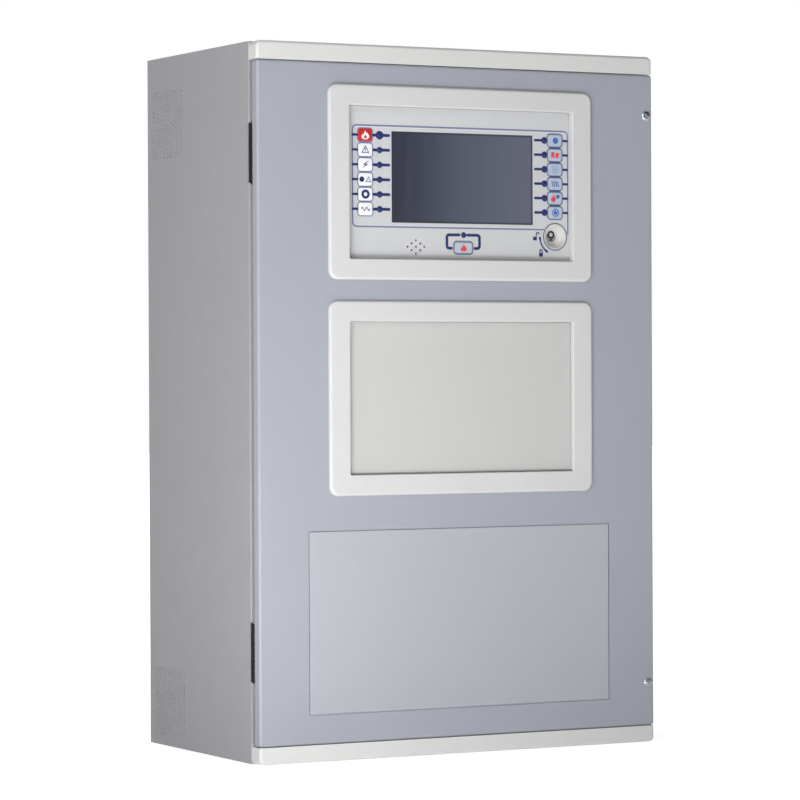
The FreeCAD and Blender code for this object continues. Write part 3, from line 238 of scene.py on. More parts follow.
aluminium = metal("aluminium", srgb(152, 154, 157), 0.52, (40, 1, 1))
brass = metal("brass", srgb(196, 160, 92), 0.34)
lead = metal("lead", srgb(110, 112, 116), 0.6)


def screen_material():
    """Switched-off liquid crystal behind matt glass, with its darker border, and a painted reflection that
    darkens its left end and lightens its right end.
    """
    low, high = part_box("display_window")
    s = Shader("screen", srgb(78, 83, 98), 0.22, Coat_Weight=0.35, Coat_Roughness=0.12)
    # Painted reflection: the colour darkens towards the screen's left end and lightens towards its right
    # end, standing in for a soft light reflected in the glass.
    across = s.ramp(s.axis(0), low.x, high.x)
    s.tint(s.ramp(across, 0.0, 0.55, 0.95, 0.0, True), srgb(50, 53, 65))
    s.tint(s.ramp(across, 0.3, 1.0, 0.0, 0.8, True), srgb(98, 103, 117))
    s.tint(s.ramp(s.noise(20.0, 2.0, (8, 1, 0.4)), 0.45, 0.7, 0.0, 0.05), srgb(112, 118, 134))
    edge_x = s.math("MINIMUM", s.math("SUBTRACT", s.axis(0), low.x), s.math("SUBTRACT", high.x, s.axis(0)))
    edge_z = s.math("MINIMUM", s.math("SUBTRACT", s.axis(2), low.z), s.math("SUBTRACT", high.z, s.axis(2)))
    edge = s.math("MINIMUM", edge_x, edge_z)
    s.tint(s.ramp(edge, 1.2 * MM, 2.2 * MM, 0.75, 0.0), srgb(54, 57, 68))
    s.bump(s.noise(3500.0, 1.0), 0.000006)
    return s


def board_material():
    """Circuit board: green mask with faint copper tracks and plated dots."""
    s = Shader("board", srgb(22, 82, 54), 0.35, Coat_Weight=0.3, Coat_Roughness=0.2)
    tracks = s.node("ShaderNodeTexWave", wave_type="BANDS", bands_direction="X")
    tracks.inputs["Scale"].default_value = 95.0
    tracks.inputs["Distortion"].default_value = 14.0
    tracks.inputs["Detail"].default_value = 0.0
    tracks.inputs["Detail Scale"].default_value = 0.6
    s.link(s.coordinates, tracks.inputs["Vector"])
    s.tint(s.ramp(tracks.outputs["Fac"], 0.72, 0.8, 0.0, 0.6), srgb(40, 116, 76))
    dots = s.node("ShaderNodeTexVoronoi")
    dots.inputs["Scale"].default_value = 160.0
    s.link(s.coordinates, dots.inputs["Vector"])
    s.tint(s.ramp(dots.outputs["Distance"], 0.1, 0.14, 0.9, 0.0), srgb(190, 176, 120))
    s.bump(tracks.outputs["Fac"], 0.00003)
    return s


screen = screen_material()
board = board_material()
carrier_plastic = moulded("carrier_plastic", srgb(96, 99, 104), 0.55)
module_plastic = moulded("module_plastic", srgb(206, 208, 210), 0.5)
terminal_plastic = moulded("terminal_plastic", srgb(54, 128, 78), 0.42)
battery_plastic = moulded("battery_plastic", srgb(52, 55, 60), 0.48, 0.00004, 1400.0)
cable_black = moulded("cable_black", srgb(28, 28, 30), 0.42)
cable_red = moulded("cable_red", srgb(176, 34, 30), 0.42)
ribbon_plastic = moulded("ribbon_plastic", srgb(150, 153, 158), 0.45)
amber_lens = moulded("amber_lens", srgb(226, 168, 60), 0.18, 0.000004, 900.0)
green_lens = moulded("green_lens", srgb(70, 196, 96), 0.18, 0.000004, 900.0)
label_white = moulded("label_white", srgb(226, 228, 230), 0.35, 0.00001, 1800.0)
chip_black = moulded("chip_black", srgb(30, 31, 33), 0.55, 0.00002, 3000.0)
sleeve_blue = moulded("sleeve_blue", srgb(28, 40, 74), 0.3, 0.00001, 1200.0)
connector_cream = moulded("connector_cream", srgb(214, 208, 188), 0.45)
cable_brown = moulded("cable_brown", srgb(104, 62, 36), 0.42)
cable_blue = moulded("cable_blue", srgb(44, 84, 168), 0.42)
earth_green = moulded("earth_green", srgb(38, 124, 62), 0.42)
earth_yellow = moulded("earth_yellow", srgb(222, 196, 48), 0.42)
# Dark cloth of the vent screens, which also serves as painted shade behind the perforations.
vent_cloth_and_shade = moulded("vent_cloth_and_shade", srgb(58, 62, 76), 0.8, 0.00005, 1600.0)

PAINT = {
    "back_panel left_side_panel right_side_panel top_panel bottom_panel": cabinet_paint,
    "front_frame battery_shelf battery_bar": cabinet_paint,
    "door_panel": door_paint,
    "cover_plate": cover_paint,
    "top_trim bottom_trim": strip_plastic,
    "display_bezel blank_bezel": white_plastic,
    "key_well": key_white,
    "hinge_cabinet_leaves hinge_door_leaves": hinge_black,
    "hinge_pins cabinet_screws door_screws": zinc,
    "door_fastener_upper door_fastener_lower key_barrel": nickel,
    "door_gasket": foam,
    "display_fascia": fascia_foil,
    "blank_plate": blank_finish,
    "unit_clamps board_components buzzer key_switch_body bus_sockets fuse_carrier": black_plastic,
    "display_window": screen,
    "lcd_panel power_supply_case": aluminium,
    "cpu_board bus_board": board,
    "module_carrier mains_terminal_block": carrier_plastic,
    "power_module loop_module_1 loop_module_2 relay_module": module_plastic,
    "module_terminals earth_strap": terminal_plastic,
    "battery_left battery_right": battery_plastic,
    "battery_plates": lead,
    "battery_terminals": brass,
    "battery_leads power_leads": cable_black,
    "ribbon_cable": ribbon_plastic,
    "indicator_lenses": white_print,
    "alarm_button " + " ".join(f"soft_button_{i}" for i in range(1, 7)): button_rubber,
}
for names, shader in PAINT.items():
    for name in names.split():
        nodes[name].data.materials.clear()
        nodes[name].data.materials.append(shader.material)


# ---- flat marks ---------------------------------------------------------------------------------
def round_rectangle(cx, cz, w, h, r, steps=6):
    """Outline of a rectangle with round corners."""
    points = []
    for sx, sz, start in ((1, 1, 0), (-1, 1, 90), (-1, -1, 180), (1, -1, 270)):
        for i in range(steps + 1):
            a = math.radians(start + 90 * i / steps)
            points.append((cx + sx * (w / 2 - r) + r * math.cos(a),
                           cz + sz * (h / 2 - r) + r * math.sin(a)))
    return points


def circle(cx, cz, r, steps=40):
    """Outline of a circle."""
    return [(cx + r * math.cos(2 * math.pi * i / steps), cz + r * math.sin(2 * math.pi * i / steps))
            for i in range(steps)]


def moved(points, cx, cz, k=1.0, wide=1.0):
    """Outline scaled, and widened, and moved."""
    return [(cx + x * k * wide, cz + z * k) for x, z in points]


def arc(cx, cz, r, start, end, steps=16):
    """Points on an arc, in degrees."""
    return [(cx + r * math.cos(math.radians(start + (end - start) * i / steps)),
             cz + r * math.sin(math.radians(start + (end - start) * i / steps))) for i in range(steps + 1)]


def stroke(points, width):
    """A line of even width with round ends, as a list of one outline."""
    half = width / 2
    knots = [Vector(p) for p in points]
    ways = [(b - a).normalized() for a, b in zip(knots, knots[1:])]
    left, right = [], []
    for knot, way_in, way_out in zip(knots, ways[:1] + ways, ways + ways[-1:]):
        way = (way_in + way_out).normalized()
        across = Vector((-way.y, way.x)) * half / max(0.6, way.dot(way_in))
        left.append(tuple(knot + across))
        right.append(tuple(knot - across))
    first, last = (math.degrees(math.atan2(way.y, way.x)) for way in (ways[0], ways[-1]))
    end_cap = arc(*knots[-1], half, last + 90, last - 90, 8)[1:-1]
    start_cap = arc(*knots[0], half, first - 90, first - 270, 8)[1:-1]
    return [left + end_cap + right[::-1] + start_cap]


def loop_at(bm, outline, y):
    """Vertices along an outline of (x, z) pairs in mm, at one depth."""
    return [bm.verts.new((x * MM, y * MM, z * MM)) for x, z in outline]


def level_at(bm, outline, z):
    """Vertices along an outline of (x, y) pairs in mm, at one height."""
    return [bm.verts.new((x * MM, y * MM, z * MM)) for x, y in outline]


def skin(bm, loops, capped=True):
    """Faces between neighbouring loops, and over the first and last one. Returns the rows of side faces."""
    rows = []
    for a, b in zip(loops, loops[1:]):
        following = zip(a, a[1:] + a[:1], b[1:] + b[:1], b)
        rows.append([bm.faces.new(corners) for corners in following])
    if capped:
        bm.faces.new(loops[0][::-1])
        bm.faces.new(loops[-1])
    return rows


def finished(name, bm, *shaders):
    """Mesh object of a bmesh, with its materials."""
    bmesh.ops.recalc_face_normals(bm, faces=bm.faces)
    mesh = bpy.data.meshes.new(name)
    bm.to_mesh(mesh)
    bm.free()
    piece = bpy.data.objects.new(name, mesh)
    bpy.context.scene.collection.objects.link(piece)
    for shader in shaders:
        mesh.materials.append(shader.material)
    return piece


def riding(piece, body):
    """Gives a piece its body."""
    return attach(piece, body)


def marks(name, shapes, front, thickness, shader, body, rings=()):
    """Thin raised shapes that face -Y: outlines, and rings of an outer and an inner outline."""
    bm = bmesh.new()
    back = front + thickness
    for outline in shapes:
        skin(bm, [loop_at(bm, outline, front), loop_at(bm, outline, back)])
    for outer, inner in rings:
        corners = ((outer, front), (inner, front), (inner, back), (outer, back))
        loops = [loop_at(bm, outline, y) for outline, y in corners]
        skin(bm, loops + loops[:1], capped=False)
    return riding(finished(name, bm, shader), body)


# ---- printed front of the display unit ----------------------------------------------------------
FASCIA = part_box("display_fascia")
FASCIA_FRONT = FASCIA[0].y / MM
ROWS = [254.2 - 14.1 * i for i in range(6)]       # status windows and soft buttons, from the top
LAMP_X, LAMP_LED_X, BUTTON_X, BUTTON_LED_X = -101.7, -86.2, 107.5, 95.8
BUTTON_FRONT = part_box("soft_button_1")[0].y / MM
ALARM_X, ALARM_Z, ALARM_LED_Z = 4.7, 148.1, 160.4
KEY_X, KEY_Z = 107.6, 160.2
PRINT = 0.14                                      # how far the thickest print stands proud, in mm

FLAME = [(0.02, 1.0), (0.1, 0.62), (0.38, 0.3), (0.56, -0.1), (0.54, -0.5), (0.32, -0.84), (0.0, -0.95),
         (-0.34, -0.84), (-0.55, -0.5), (-0.52, -0.08), (-0.34, 0.22), (-0.26, 0.02), (-0.14, 0.5)]
FLAME_HEART = [(0.0, 0.1), (0.17, -0.2), (0.22, -0.52), (0.0, -0.74), (-0.22, -0.52), (-0.14, -0.24)]
BOLT = [(0.5, 1.0), (-0.42, -0.1), (-0.02, -0.06), (-0.5, -1.0), (0.42, 0.12), (0.04, 0.1)]
TRIANGLE = [(0.0, 1.0), (1.0, -0.75), (-1.0, -0.75)]


def ring(cx, cz, outer, inner, steps=40):
    """Flat ring, as its outer and inner outline."""
    return circle(cx, cz, outer, steps), circle(cx, cz, inner, steps)


def frame_ring(cx, cz, w, h, r, line):
    """Line of even width round a rectangle with round corners."""
    return round_rectangle(cx, cz, w + 2 * line, h + 2 * line, r + line), round_rectangle(cx, cz, w, h, r)


def triangle_ring(cx, cz, k, line):
    """Outline of a warning triangle."""
    inner = [(x * (1 - line), (z + 0.165) * (1 - line) - 0.165) for x, z in TRIANGLE]
    return moved(TRIANGLE, cx, cz, k), moved(inner, cx, cz, k)


def printed(name, shader, shapes=(), rings=(), lift=1.0, front=None, body="door", slot="fascia_grey"):
    """Print on a front face: shapes and rings in one colour."""
    face = FASCIA_FRONT if front is None else front
    height = PRINT * lift
    return marks(name, shapes, face - height, height + 0.05, shader, body, rings)


def border_path(inset, start_x, end_z):
    """Open line round the windows, the screen and the buttons, which stops beside the key on both sides."""
    left, right, low, high, r = -115.3 + inset, 121.9 - inset, 167.1 + inset, 263.4 - inset, 4.5 - inset
    path = [(start_x, low)] + arc(left + r, low + r, r, 270, 180, 8)
    path += arc(left + r, high - r, r, 180, 90, 8) + arc(right - r, high - r, r, 90, 0, 8)
    return path + [(right, end_z)]


def add_fascia_print():
    """Border lines, connecting lines, and the signs round the alarm button and the key."""
    printed("print_border", slate, stroke(border_path(0.0, 94.4, 163.4), 1.6), lift=0.7)
    printed("print_inner_line", print_light, stroke(border_path(1.1, 93.6, 167.6), 0.8), lift=0.5)
    windows = [frame_ring(LAMP_X, z, 14.8, 11.9, 2.3, 1.15) for z in ROWS]
    printed("print_window_outlines", slate, rings=windows, lift=0.9)
    buttons = [frame_ring(BUTTON_X, z, 15.7, 11.8, 2.8, 1.25) for z in ROWS]
    printed("print_button_outlines", slate_grey, rings=buttons, lift=0.9)
    alarm = frame_ring(ALARM_X, ALARM_Z, 19.5, 10.9, 2.8, 1.5)
    printed("print_alarm_outline", alarm_grey, rings=[alarm], lift=0.9)
    lines = []
    for z in ROWS:
        lines += stroke([(-115.2, z), (-109.8, z)], 2.3)
        lines += stroke([(-92.6, z), (-76.2, z)], 2.8)
        lines += stroke([(85.2, z), (BUTTON_LED_X, z)], 2.4)
        lines += stroke([(117.4, z), (121.6, z)], 2.3)
    for side in (-1, 1):
        corner = arc(ALARM_X + side * 15.5, ALARM_LED_Z - 2.5, 2.5, 90, 90 - side * 90, 6)
        foot = arc(ALARM_X + side * 15.5, 150.1, 2.5, side * -90 + 90, 90 - side * 180, 6)
        start, end = (ALARM_X + side * 4.6, ALARM_LED_Z), (ALARM_X + side * 13.0, 147.6)
        lines += stroke([start] + corner + foot + [end], 2.8)
    printed("print_lines", navy, lines)
    # Dark bars across the gaps between neighbouring soft buttons, darker than the button outlines.
    bars = []
    for z in ROWS[:-1]:
        bars += stroke([(BUTTON_X - 5.0, z - 7.05), (BUTTON_X + 5.0, z - 7.05)], 1.7)
    printed("button_gap_bars", navy_slate, bars, lift=1.05)
    printed("print_key_ring", slate_grey, rings=[ring(KEY_X, KEY_Z, 13.8, 12.45, 64)], lift=0.95)
    printed("print_key_arc", navy_slate, stroke(arc(KEY_X, KEY_Z, 17.2, 186, 236), 1.8), lift=0.9)
    printed("print_key_stops", navy, stroke(arc(KEY_X, KEY_Z, 17.2, 184, 190), 2.3)
            + stroke(arc(KEY_X, KEY_Z, 17.2, 231, 238), 2.3))
    locks = [round_rectangle(84.8, 158.2, 4.2, 3.6, 0.5), round_rectangle(91.6, 142.6, 4.2, 3.8, 0.5)]
    locks += stroke([(86.3, 160.9)] + arc(87.9, 162.4, 1.6, 180, 20, 8), 1.2)
    locks += stroke([(90.2, 145.2)] + arc(91.6, 146.0, 1.4, 180, 0, 8) + [(93.0, 145.2)], 1.1)
    printed("print_padlocks", navy, locks)


def add_window_symbols():
    """Symbols on the six status windows: flame, fault, power, mixed fault, disabled, test."""
    front = FASCIA_FRONT - 0.5
    z = ROWS
    printed("symbol_flame", white_print, [moved(FLAME, LAMP_X, z[0] - 0.2, 4.5, 1.65)], front=front)
    heart = moved(FLAME_HEART, LAMP_X, z[0] - 0.3, 4.5, 1.6)
    printed("symbol_flame_heart", red_print, [heart], front=front, lift=1.6)
    signs = [triangle_ring(LAMP_X, z[1], 4.4, 0.36), triangle_ring(LAMP_X + 3.2, z[3] - 0.2, 3.2, 0.4)]
    marks_in = stroke([(LAMP_X, z[1] + 1.3), (LAMP_X, z[1] - 0.3)], 0.9)
    marks_in.append(circle(LAMP_X, z[1] - 1.7, 0.5, 12))
    wave = [[(LAMP_X - 4.6 + 0.46 * i, z[5] + side + 1.4 * math.sin(i * 0.63)) for i in range(21)]
            for side in (0.85, -0.85)]
    printed("symbols_slate", slate, marks_in + [wave[0] + wave[1][::-1]], rings=signs, front=front)
    printed("symbol_bolt", navy_slate, [moved(BOLT, LAMP_X, z[2], 4.1, 1.75)], front=front)
    printed("symbols_navy", navy, [circle(LAMP_X - 3.9, z[3], 2.6, 24)],
            rings=[ring(LAMP_X, z[4], 4.4, 1.9)], front=front)


def add_button_symbols():
    """Symbols on the soft buttons and the alarm button, which travel with them."""
    for i, z in enumerate(ROWS):
        x = BUTTON_X
        body = f"soft_key_{i + 1}"
        common = {"front": BUTTON_FRONT, "body": body, "slot": "button_grey"}
        name = f"key_symbol_{i + 1}"
        if i == 0:
            printed(name, blue_print, [circle(x + 0.4, z, 3.0, 30)], **common)
        elif i == 1:
            blocks = [round_rectangle(x - 2.7, z + 0.8, 3.4, 4.6, 0.5)]
            blocks.append(round_rectangle(x + 2.4, z + 0.2, 3.8, 3.8, 1.2))
            blocks += stroke([(x - 4.4, z - 2.0), (x + 4.2, z - 2.6)], 0.8)
            printed(name, soft_red_print, blocks, **common)
        elif i == 2:
            printed(name, pale_blue_print, [circle(x, z, 1.4, 16)], rings=[ring(x, z, 3.9, 2.7)], **common)
        elif i == 3:
            bars = []
            for k in range(4):
                bars += stroke([(x - 3.8 + 2.1 * k, z + 2.4), (x - 2.4 + 2.1 * k, z - 2.4)], 1.0)
            printed(name, blue_print, bars, **common)
        elif i == 4:
            printed(name, soft_red_print, [moved(FLAME, x - 2.2, z, 3.8, 1.3)], **common)
            printed(name + "_dot", blue_print, [circle(x + 2.9, z + 1.6, 2.0, 20)], **common)
        else:
            dot, outline = circle(x + 0.3, z, 2.1, 20), ring(x + 0.3, z, 3.9, 2.9)
            printed(name, blue_print, [dot], rings=[outline], **common)
    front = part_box("alarm_button")[0].y / MM
    flame = moved(FLAME, ALARM_X, ALARM_Z - 0.1, 3.7, 1.6)
    printed("alarm_symbol", soft_red_print, [flame], front=front, body="alarm_key", slot="button_grey")


def add_key_face():
    """Dark guard ring and bright pin of the key way, which turn with the key."""
    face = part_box("key_barrel")[0].y / MM
    eye = KEY_Z + 2.3
    guard = ring(KEY_X, eye, 3.9, 2.1, 32)
    printed("key_guard", black_plastic, rings=[guard], lift=1.4, front=face, body="key_lock",
            slot="black_plastic")
    bm = bmesh.new()
    lens_dome(bm, KEY_X, eye, 1.8, face, 0.3)
    from_bmesh("key_pin", bm, key_white, "key_lock", smooth=True)


def raised_plate(bm, cx, cz, w, h, r, front, back, edge):
    """Plate with round corners and a rounded front edge, added to a bmesh."""
    profile = [(0.0, back), (0.0, front + edge)]
    for a in (math.pi / 6, math.pi / 3, math.pi / 2):
        profile.append((edge * (1 - math.cos(a)), front + edge * (1 - math.sin(a))))
    skin(bm, [loop_at(bm, round_rectangle(cx, cz, w - 2 * inset, h - 2 * inset, max(r - inset, 0.2)), y)
              for inset, y in profile])


def lens_dome(bm, cx, cz, r, base, height, stem=2.0):
    """Small domed lens with its stem, added to a bmesh."""
    steps, rings = 24, 6
    loops = [loop_at(bm, circle(cx, cz, r, steps), base + stem)]
    for k in range(rings):
        a = math.pi / 2 * k / rings
        loops.append(loop_at(bm, circle(cx, cz, r * math.cos(a), steps), base - height * math.sin(a)))
    skin(bm, loops, capped=False)
    tip = bm.verts.new((cx * MM, (base - height) * MM, cz * MM))
    for i in range(steps):
        bm.faces.new((loops[-1][i], loops[-1][(i + 1) % steps], tip))
    bm.faces.new(loops[0][::-1])


def from_bmesh(name, bm, shader, body, smooth=False):
    """Finishes a bmesh as a piece that rides on a body."""
    piece = finished(name, bm, shader)
    if smooth:
        piece.data.shade_smooth()
        piece.data.set_sharp_from_angle(angle=math.radians(40))
    return riding(piece, body)


def add_lenses():
    """Status windows and indicator lenses, in place of the plain ones."""
    bm = bmesh.new()
    for z in ROWS[1:]:
        raised_plate(bm, LAMP_X, z, 14.8, 12.0, 2.3, FASCIA_FRONT - 0.45, FASCIA_FRONT + 1.0, 0.3)
    windows = from_bmesh("status_windows", bm, white_print, "door", smooth=True)
    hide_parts("indicator_lenses")
    bm = bmesh.new()
    raised_plate(bm, LAMP_X, ROWS[0], 14.8, 12.0, 2.3, FASCIA_FRONT - 0.45, FASCIA_FRONT + 1.0, 0.3)
    from_bmesh("alarm_window", bm, red_print, "door", smooth=True)
    lamps = [(x, z) for x in (LAMP_LED_X, BUTTON_LED_X) for z in ROWS] + [(ALARM_X + 0.4, ALARM_LED_Z)]
    radii = [4.1] + [3.1] * 5 + [3.3] * 6 + [2.8]
    collars = [ring(x, z, r, 1.55, 28) for (x, z), r in zip(lamps, radii)]
    printed("lens_collars", navy, rings=collars, lift=1.3)
    bm = bmesh.new()
    for x, z in lamps:
        lens_dome(bm, x, z, 1.6, FASCIA_FRONT - 0.1, 0.75)
    from_bmesh("indicator_domes", bm, lens_smoke, "door", smooth=True)


add_fascia_print()
add_window_symbols()
add_button_symbols()
add_key_face()
add_lenses()


# ---- inside: boards, modules, batteries and wiring ----------------------------------------------
def box_in(bm, x0, x1, y0, y1, z0, z1, bevel=0.0):
    """Box between three pairs of coordinates in mm, with its edges bevelled, added to a bmesh."""
    made = bmesh.ops.create_cube(bm, size=1.0)["verts"]
    bmesh.ops.scale(bm, vec=((x1 - x0) * MM, (y1 - y0) * MM, (z1 - z0) * MM), verts=made)
    bmesh.ops.translate(bm, vec=((x0 + x1) / 2 * MM, (y0 + y1) / 2 * MM, (z0 + z1) / 2 * MM), verts=made)
    if bevel:
        edges = {e for v in made for e in v.link_edges}
        bmesh.ops.bevel(bm, geom=list(edges), offset=bevel * MM, segments=2, profile=0.5, affect="EDGES")


def turned_in(bm, cx, cz, profile, steps=24):
    """Solid turned about the Y line through (cx, cz), from (radius, y) pairs in mm."""
    skin(bm, [loop_at(bm, circle(cx, cz, r, steps), y) for r, y in profile])


def screw_in(bm, x, z, r, y_seat, y_face):
    """Slotted terminal screw whose head points to -Y: two half heads beside the slot."""
    for side in (-1, 1):
        outline = [(x + side * 0.18 * r, z - r * 0.97), (x + side * 0.18 * r, z + r * 0.97)]
        outline += [(x + side * r * math.cos(a), z + r * math.sin(a))
                    for a in (math.radians(75 - 150 * i / 8) for i in range(9))]
        skin(bm, [loop_at(bm, outline, y_face), loop_at(bm, outline, y_seat)])
    turned_in(bm, x, z, [(r, (y_seat + y_face) / 2), (r, y_seat)], 18)


def spline_points(route):
    """Points along the smooth line that the route's points pull into shape, in metres."""
    curve = bpy.data.curves.new("route", "CURVE")
    curve.dimensions = "3D"
    spline = curve.splines.new("NURBS")
    spline.points.add(len(route) - 1)
    for point, place in zip(spline.points, route):
        point.co = tuple(v * MM for v in place) + (1.0,)
    spline.order_u = 3
    spline.use_endpoint_u = True
    spline.resolution_u = 10
    carrier = bpy.data.objects.new("route", curve)
    bpy.context.scene.collection.objects.link(carrier)
    bpy.context.view_layer.update()
    graph = bpy.context.evaluated_depsgraph_get()
    points = [v.co.copy() for v in bpy.data.meshes.new_from_object(carrier.evaluated_get(graph)).vertices]
    bpy.data.objects.remove(carrier)
    return points


def wire_in(bm, route, radius, steps=12, stripe=0):
    """Round insulated wire along a route. Two slowly turning stripes take the second material."""
    points = spline_points(route)
    side = Vector((0.31, 0.22, 0.92))
    loops = []
    for i, p in enumerate(points):
        ahead = (points[min(i + 1, len(points) - 1)] - points[max(i - 1, 0)]).normalized()
        side = (side - ahead * side.dot(ahead)).normalized()
        other = ahead.cross(side)
        loops.append([bm.verts.new(p + radius * MM * (math.cos(a) * side + math.sin(a) * other))
                      for a in (2 * math.pi * k / steps for k in range(steps))])
    for n, row in enumerate(skin(bm, loops)):
        for i, face in enumerate(row):
            face.material_index = int((i + n // 4) % (steps // 2) < stripe)


def add_wire(name, routes, radius, shader, body, stands_for=(), stripe=0):
    """Wires of one colour as one piece."""
    bm = bmesh.new()
    for route in routes:
        wire_in(bm, route, radius, stripe=stripe)
    piece = from_bmesh(name, bm, shader, body, smooth=True)
    if stands_for:
        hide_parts(*stands_for)
    return piece


SLOT_PITCH, CARRIER_Z, WAY_PITCH = 48.0, 175.0, 5.08
MODULE_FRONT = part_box("loop_module_1")[0].y / MM
STEP_Y, STEP_ZS = -78.0, (100.0, 250.0)            # terminal steps of the modules
VENT_ZS, VENT_H = (273.5, -296.5), 71.0
ENTRY_Z, ENTRY_W, ENTRY_H = 290.0, 200.0, 36.0     # cable entry in the back
BATTERY_XS = (-89.0, 89.0)
BATTERY_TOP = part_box("battery_left")[1].z / MM
BATTERY_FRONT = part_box("battery_left")[0].y / MM
TERMINAL_XS = [-155.0, -23.0, 23.0, 155.0]         # battery terminals: plus, minus, plus, minus
TERMINAL_Y, TERMINAL_Z = BATTERY_FRONT + 12, BATTERY_TOP - 6


def slot_x(i):
    """Centre of a module position; a half number is the middle of two positions."""
    return (i - 3.5) * SLOT_PITCH


STRIP_XS = [slot_x(0.5) - 22, slot_x(0.5) + 22, slot_x(2), slot_x(3), slot_x(4)]


def add_module_details():
    """Terminal screws, lamps, and plain labels of the plug-in modules."""
    bm = bmesh.new()
    for xc in STRIP_XS:
        for zc, side in zip(STEP_ZS, (-1, 1)):
            for i in range(7):
                screw_in(bm, xc + (i - 3) * WAY_PITCH, zc - side * 2.5, 1.6, STEP_Y - 8.2, STEP_Y - 9.6)
    from_bmesh("terminal_screws", bm, zinc, "cabinet")
    bm = bmesh.new()
    green = bmesh.new()
    for xc in (slot_x(2), slot_x(3), slot_x(4)):
        for k in range(5):
            lens_dome(green if k == 0 else bm, xc - 12 + 6 * k, 148, 1.45, MODULE_FRONT + 0.5, 0.9)
    for k in range(4):
        lens_dome(green if k < 2 else bm, slot_x(0.5) - 15 + 10 * k, 146, 1.45, MODULE_FRONT + 0.5, 0.9)
    from_bmesh("module_lamps", bm, amber_lens, "cabinet", smooth=True)
    from_bmesh("module_lamps_green", green, green_lens, "cabinet", smooth=True)
    labels = [round_rectangle(x, 190, 33, 55, 1.2) for x in (slot_x(2), slot_x(3), slot_x(4))]
    labels.append(round_rectangle(slot_x(0.5), 127, 79, 21, 1.2))
    marks("module_labels", labels, MODULE_FRONT + 0.35, 0.3, label_white, "cabinet")
    bars = []
    for i, x in enumerate((slot_x(2), slot_x(3), slot_x(4))):
        bars.append(round_rectangle(x, 212.5, 33, 8, 1.0))
        for k in range(4):
            short = (k + i) % 3
            bars.append(round_rectangle(x - 2.5 - short, 202 - 6.5 * k, 22 - 3 * short, 1.3, 0.4))
    bars.append(round_rectangle(slot_x(0.5) - 33, 127, 12, 21, 1.0))
    for k in range(3):
        bars.append(round_rectangle(slot_x(0.5) + 4 - 3 * k, 132 - 5 * k, 48 - 6 * k, 1.3, 0.4))
    marks("module_label_print", bars, MODULE_FRONT + 0.25, 0.15, slate, "cabinet")
    pins = bmesh.new()
    for slot in (5, 6, 7):
        for k in range(15):
            for z in (CARRIER_Z - 0.7, CARRIER_Z + 0.7):
                x = slot_x(slot) - 14.7 + 2.1 * k
                box_in(pins, x - 0.3, x + 0.3, -15.2, -10.9, z - 0.25, z + 0.25)
    from_bmesh("bus_pins", pins, brass, "cabinet")


def add_power_details():
    """Terminal screws of the supply and the mains block, and the supply's board and label."""
    bm = bmesh.new()
    for i in range(8):
        screw_in(bm, -2.0, -77.0 + 9.2 * i, 2.8, -47.8, -50.4)
    for i in range(8):
        x = 67.0 + 11.2 * i
        if 84.0 < x < 109.0:
            continue
        for z in (-70.0, -42.0):
            screw_in(bm, x, z, 3.0, -29.5, -33.0)
    from_bmesh("power_screws", bm, zinc, "cabinet")
    bm = bmesh.new()
    box_in(bm, -181, 11, -6.5, -4.9, -91, 1)
    for x, r, h in ((-150, 11, 30), (-120, 11, 30), (-30, 8, 26), (-10, 8, 26)):
        turned_in(bm, x, -60, [(r - 0.8, -6.5 - h), (r, -7.3 - h + 1.6), (r, -6.5)])
    box_in(bm, -100, -62, -36, -6.5, -75, -28, 1.0)
    box_in(bm, -165, -110, -34, -6.5, -30, -24, 0.4)
    from_bmesh("supply_board", bm, board, "cabinet")
    marks("supply_label", [round_rectangle(-95, -90.6, 120, 5.4, 0.8)], -43.68, 0.22, label_white, "cabinet")


def add_vent_screens():
    """Fine dust screens inside the perforated patches of the two sides, whose dark cloth is also painted
    shade that darkens the holes.
    """
    bm = bmesh.new()
    inner = -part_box("left_side_panel")[0].x / MM - 1.5
    for side in (-1, 1):
        x0, x1 = sorted((side * inner, side * (inner - 0.3)))
        for z in VENT_ZS:
            box_in(bm, x0, x1, -86.0, -12.0, z - VENT_H / 2, z + VENT_H / 2)
    # The dark cloth is partly painted shade: it darkens the holes of the perforation.
    from_bmesh("vent_screens", bm, vent_cloth_and_shade, "cabinet")


def add_entry_edging():
    """Rubber edging round the cable entry in the back of the cabinet."""
    front, back = -2.6, -0.02
    bm = bmesh.new()
    loops = []
    for grow, y in ((1.6, front), (1.6, back), (-1.0, back), (-1.0, front)):
        outline = round_rectangle(0.0, ENTRY_Z, ENTRY_W + 2 * grow, ENTRY_H + 2 * grow, 5.0 + grow)
        loops.append(loop_at(bm, outline, y))
    skin(bm, loops + loops[:1], capped=False)
    from_bmesh("entry_edging", bm, cable_black, "cabinet")


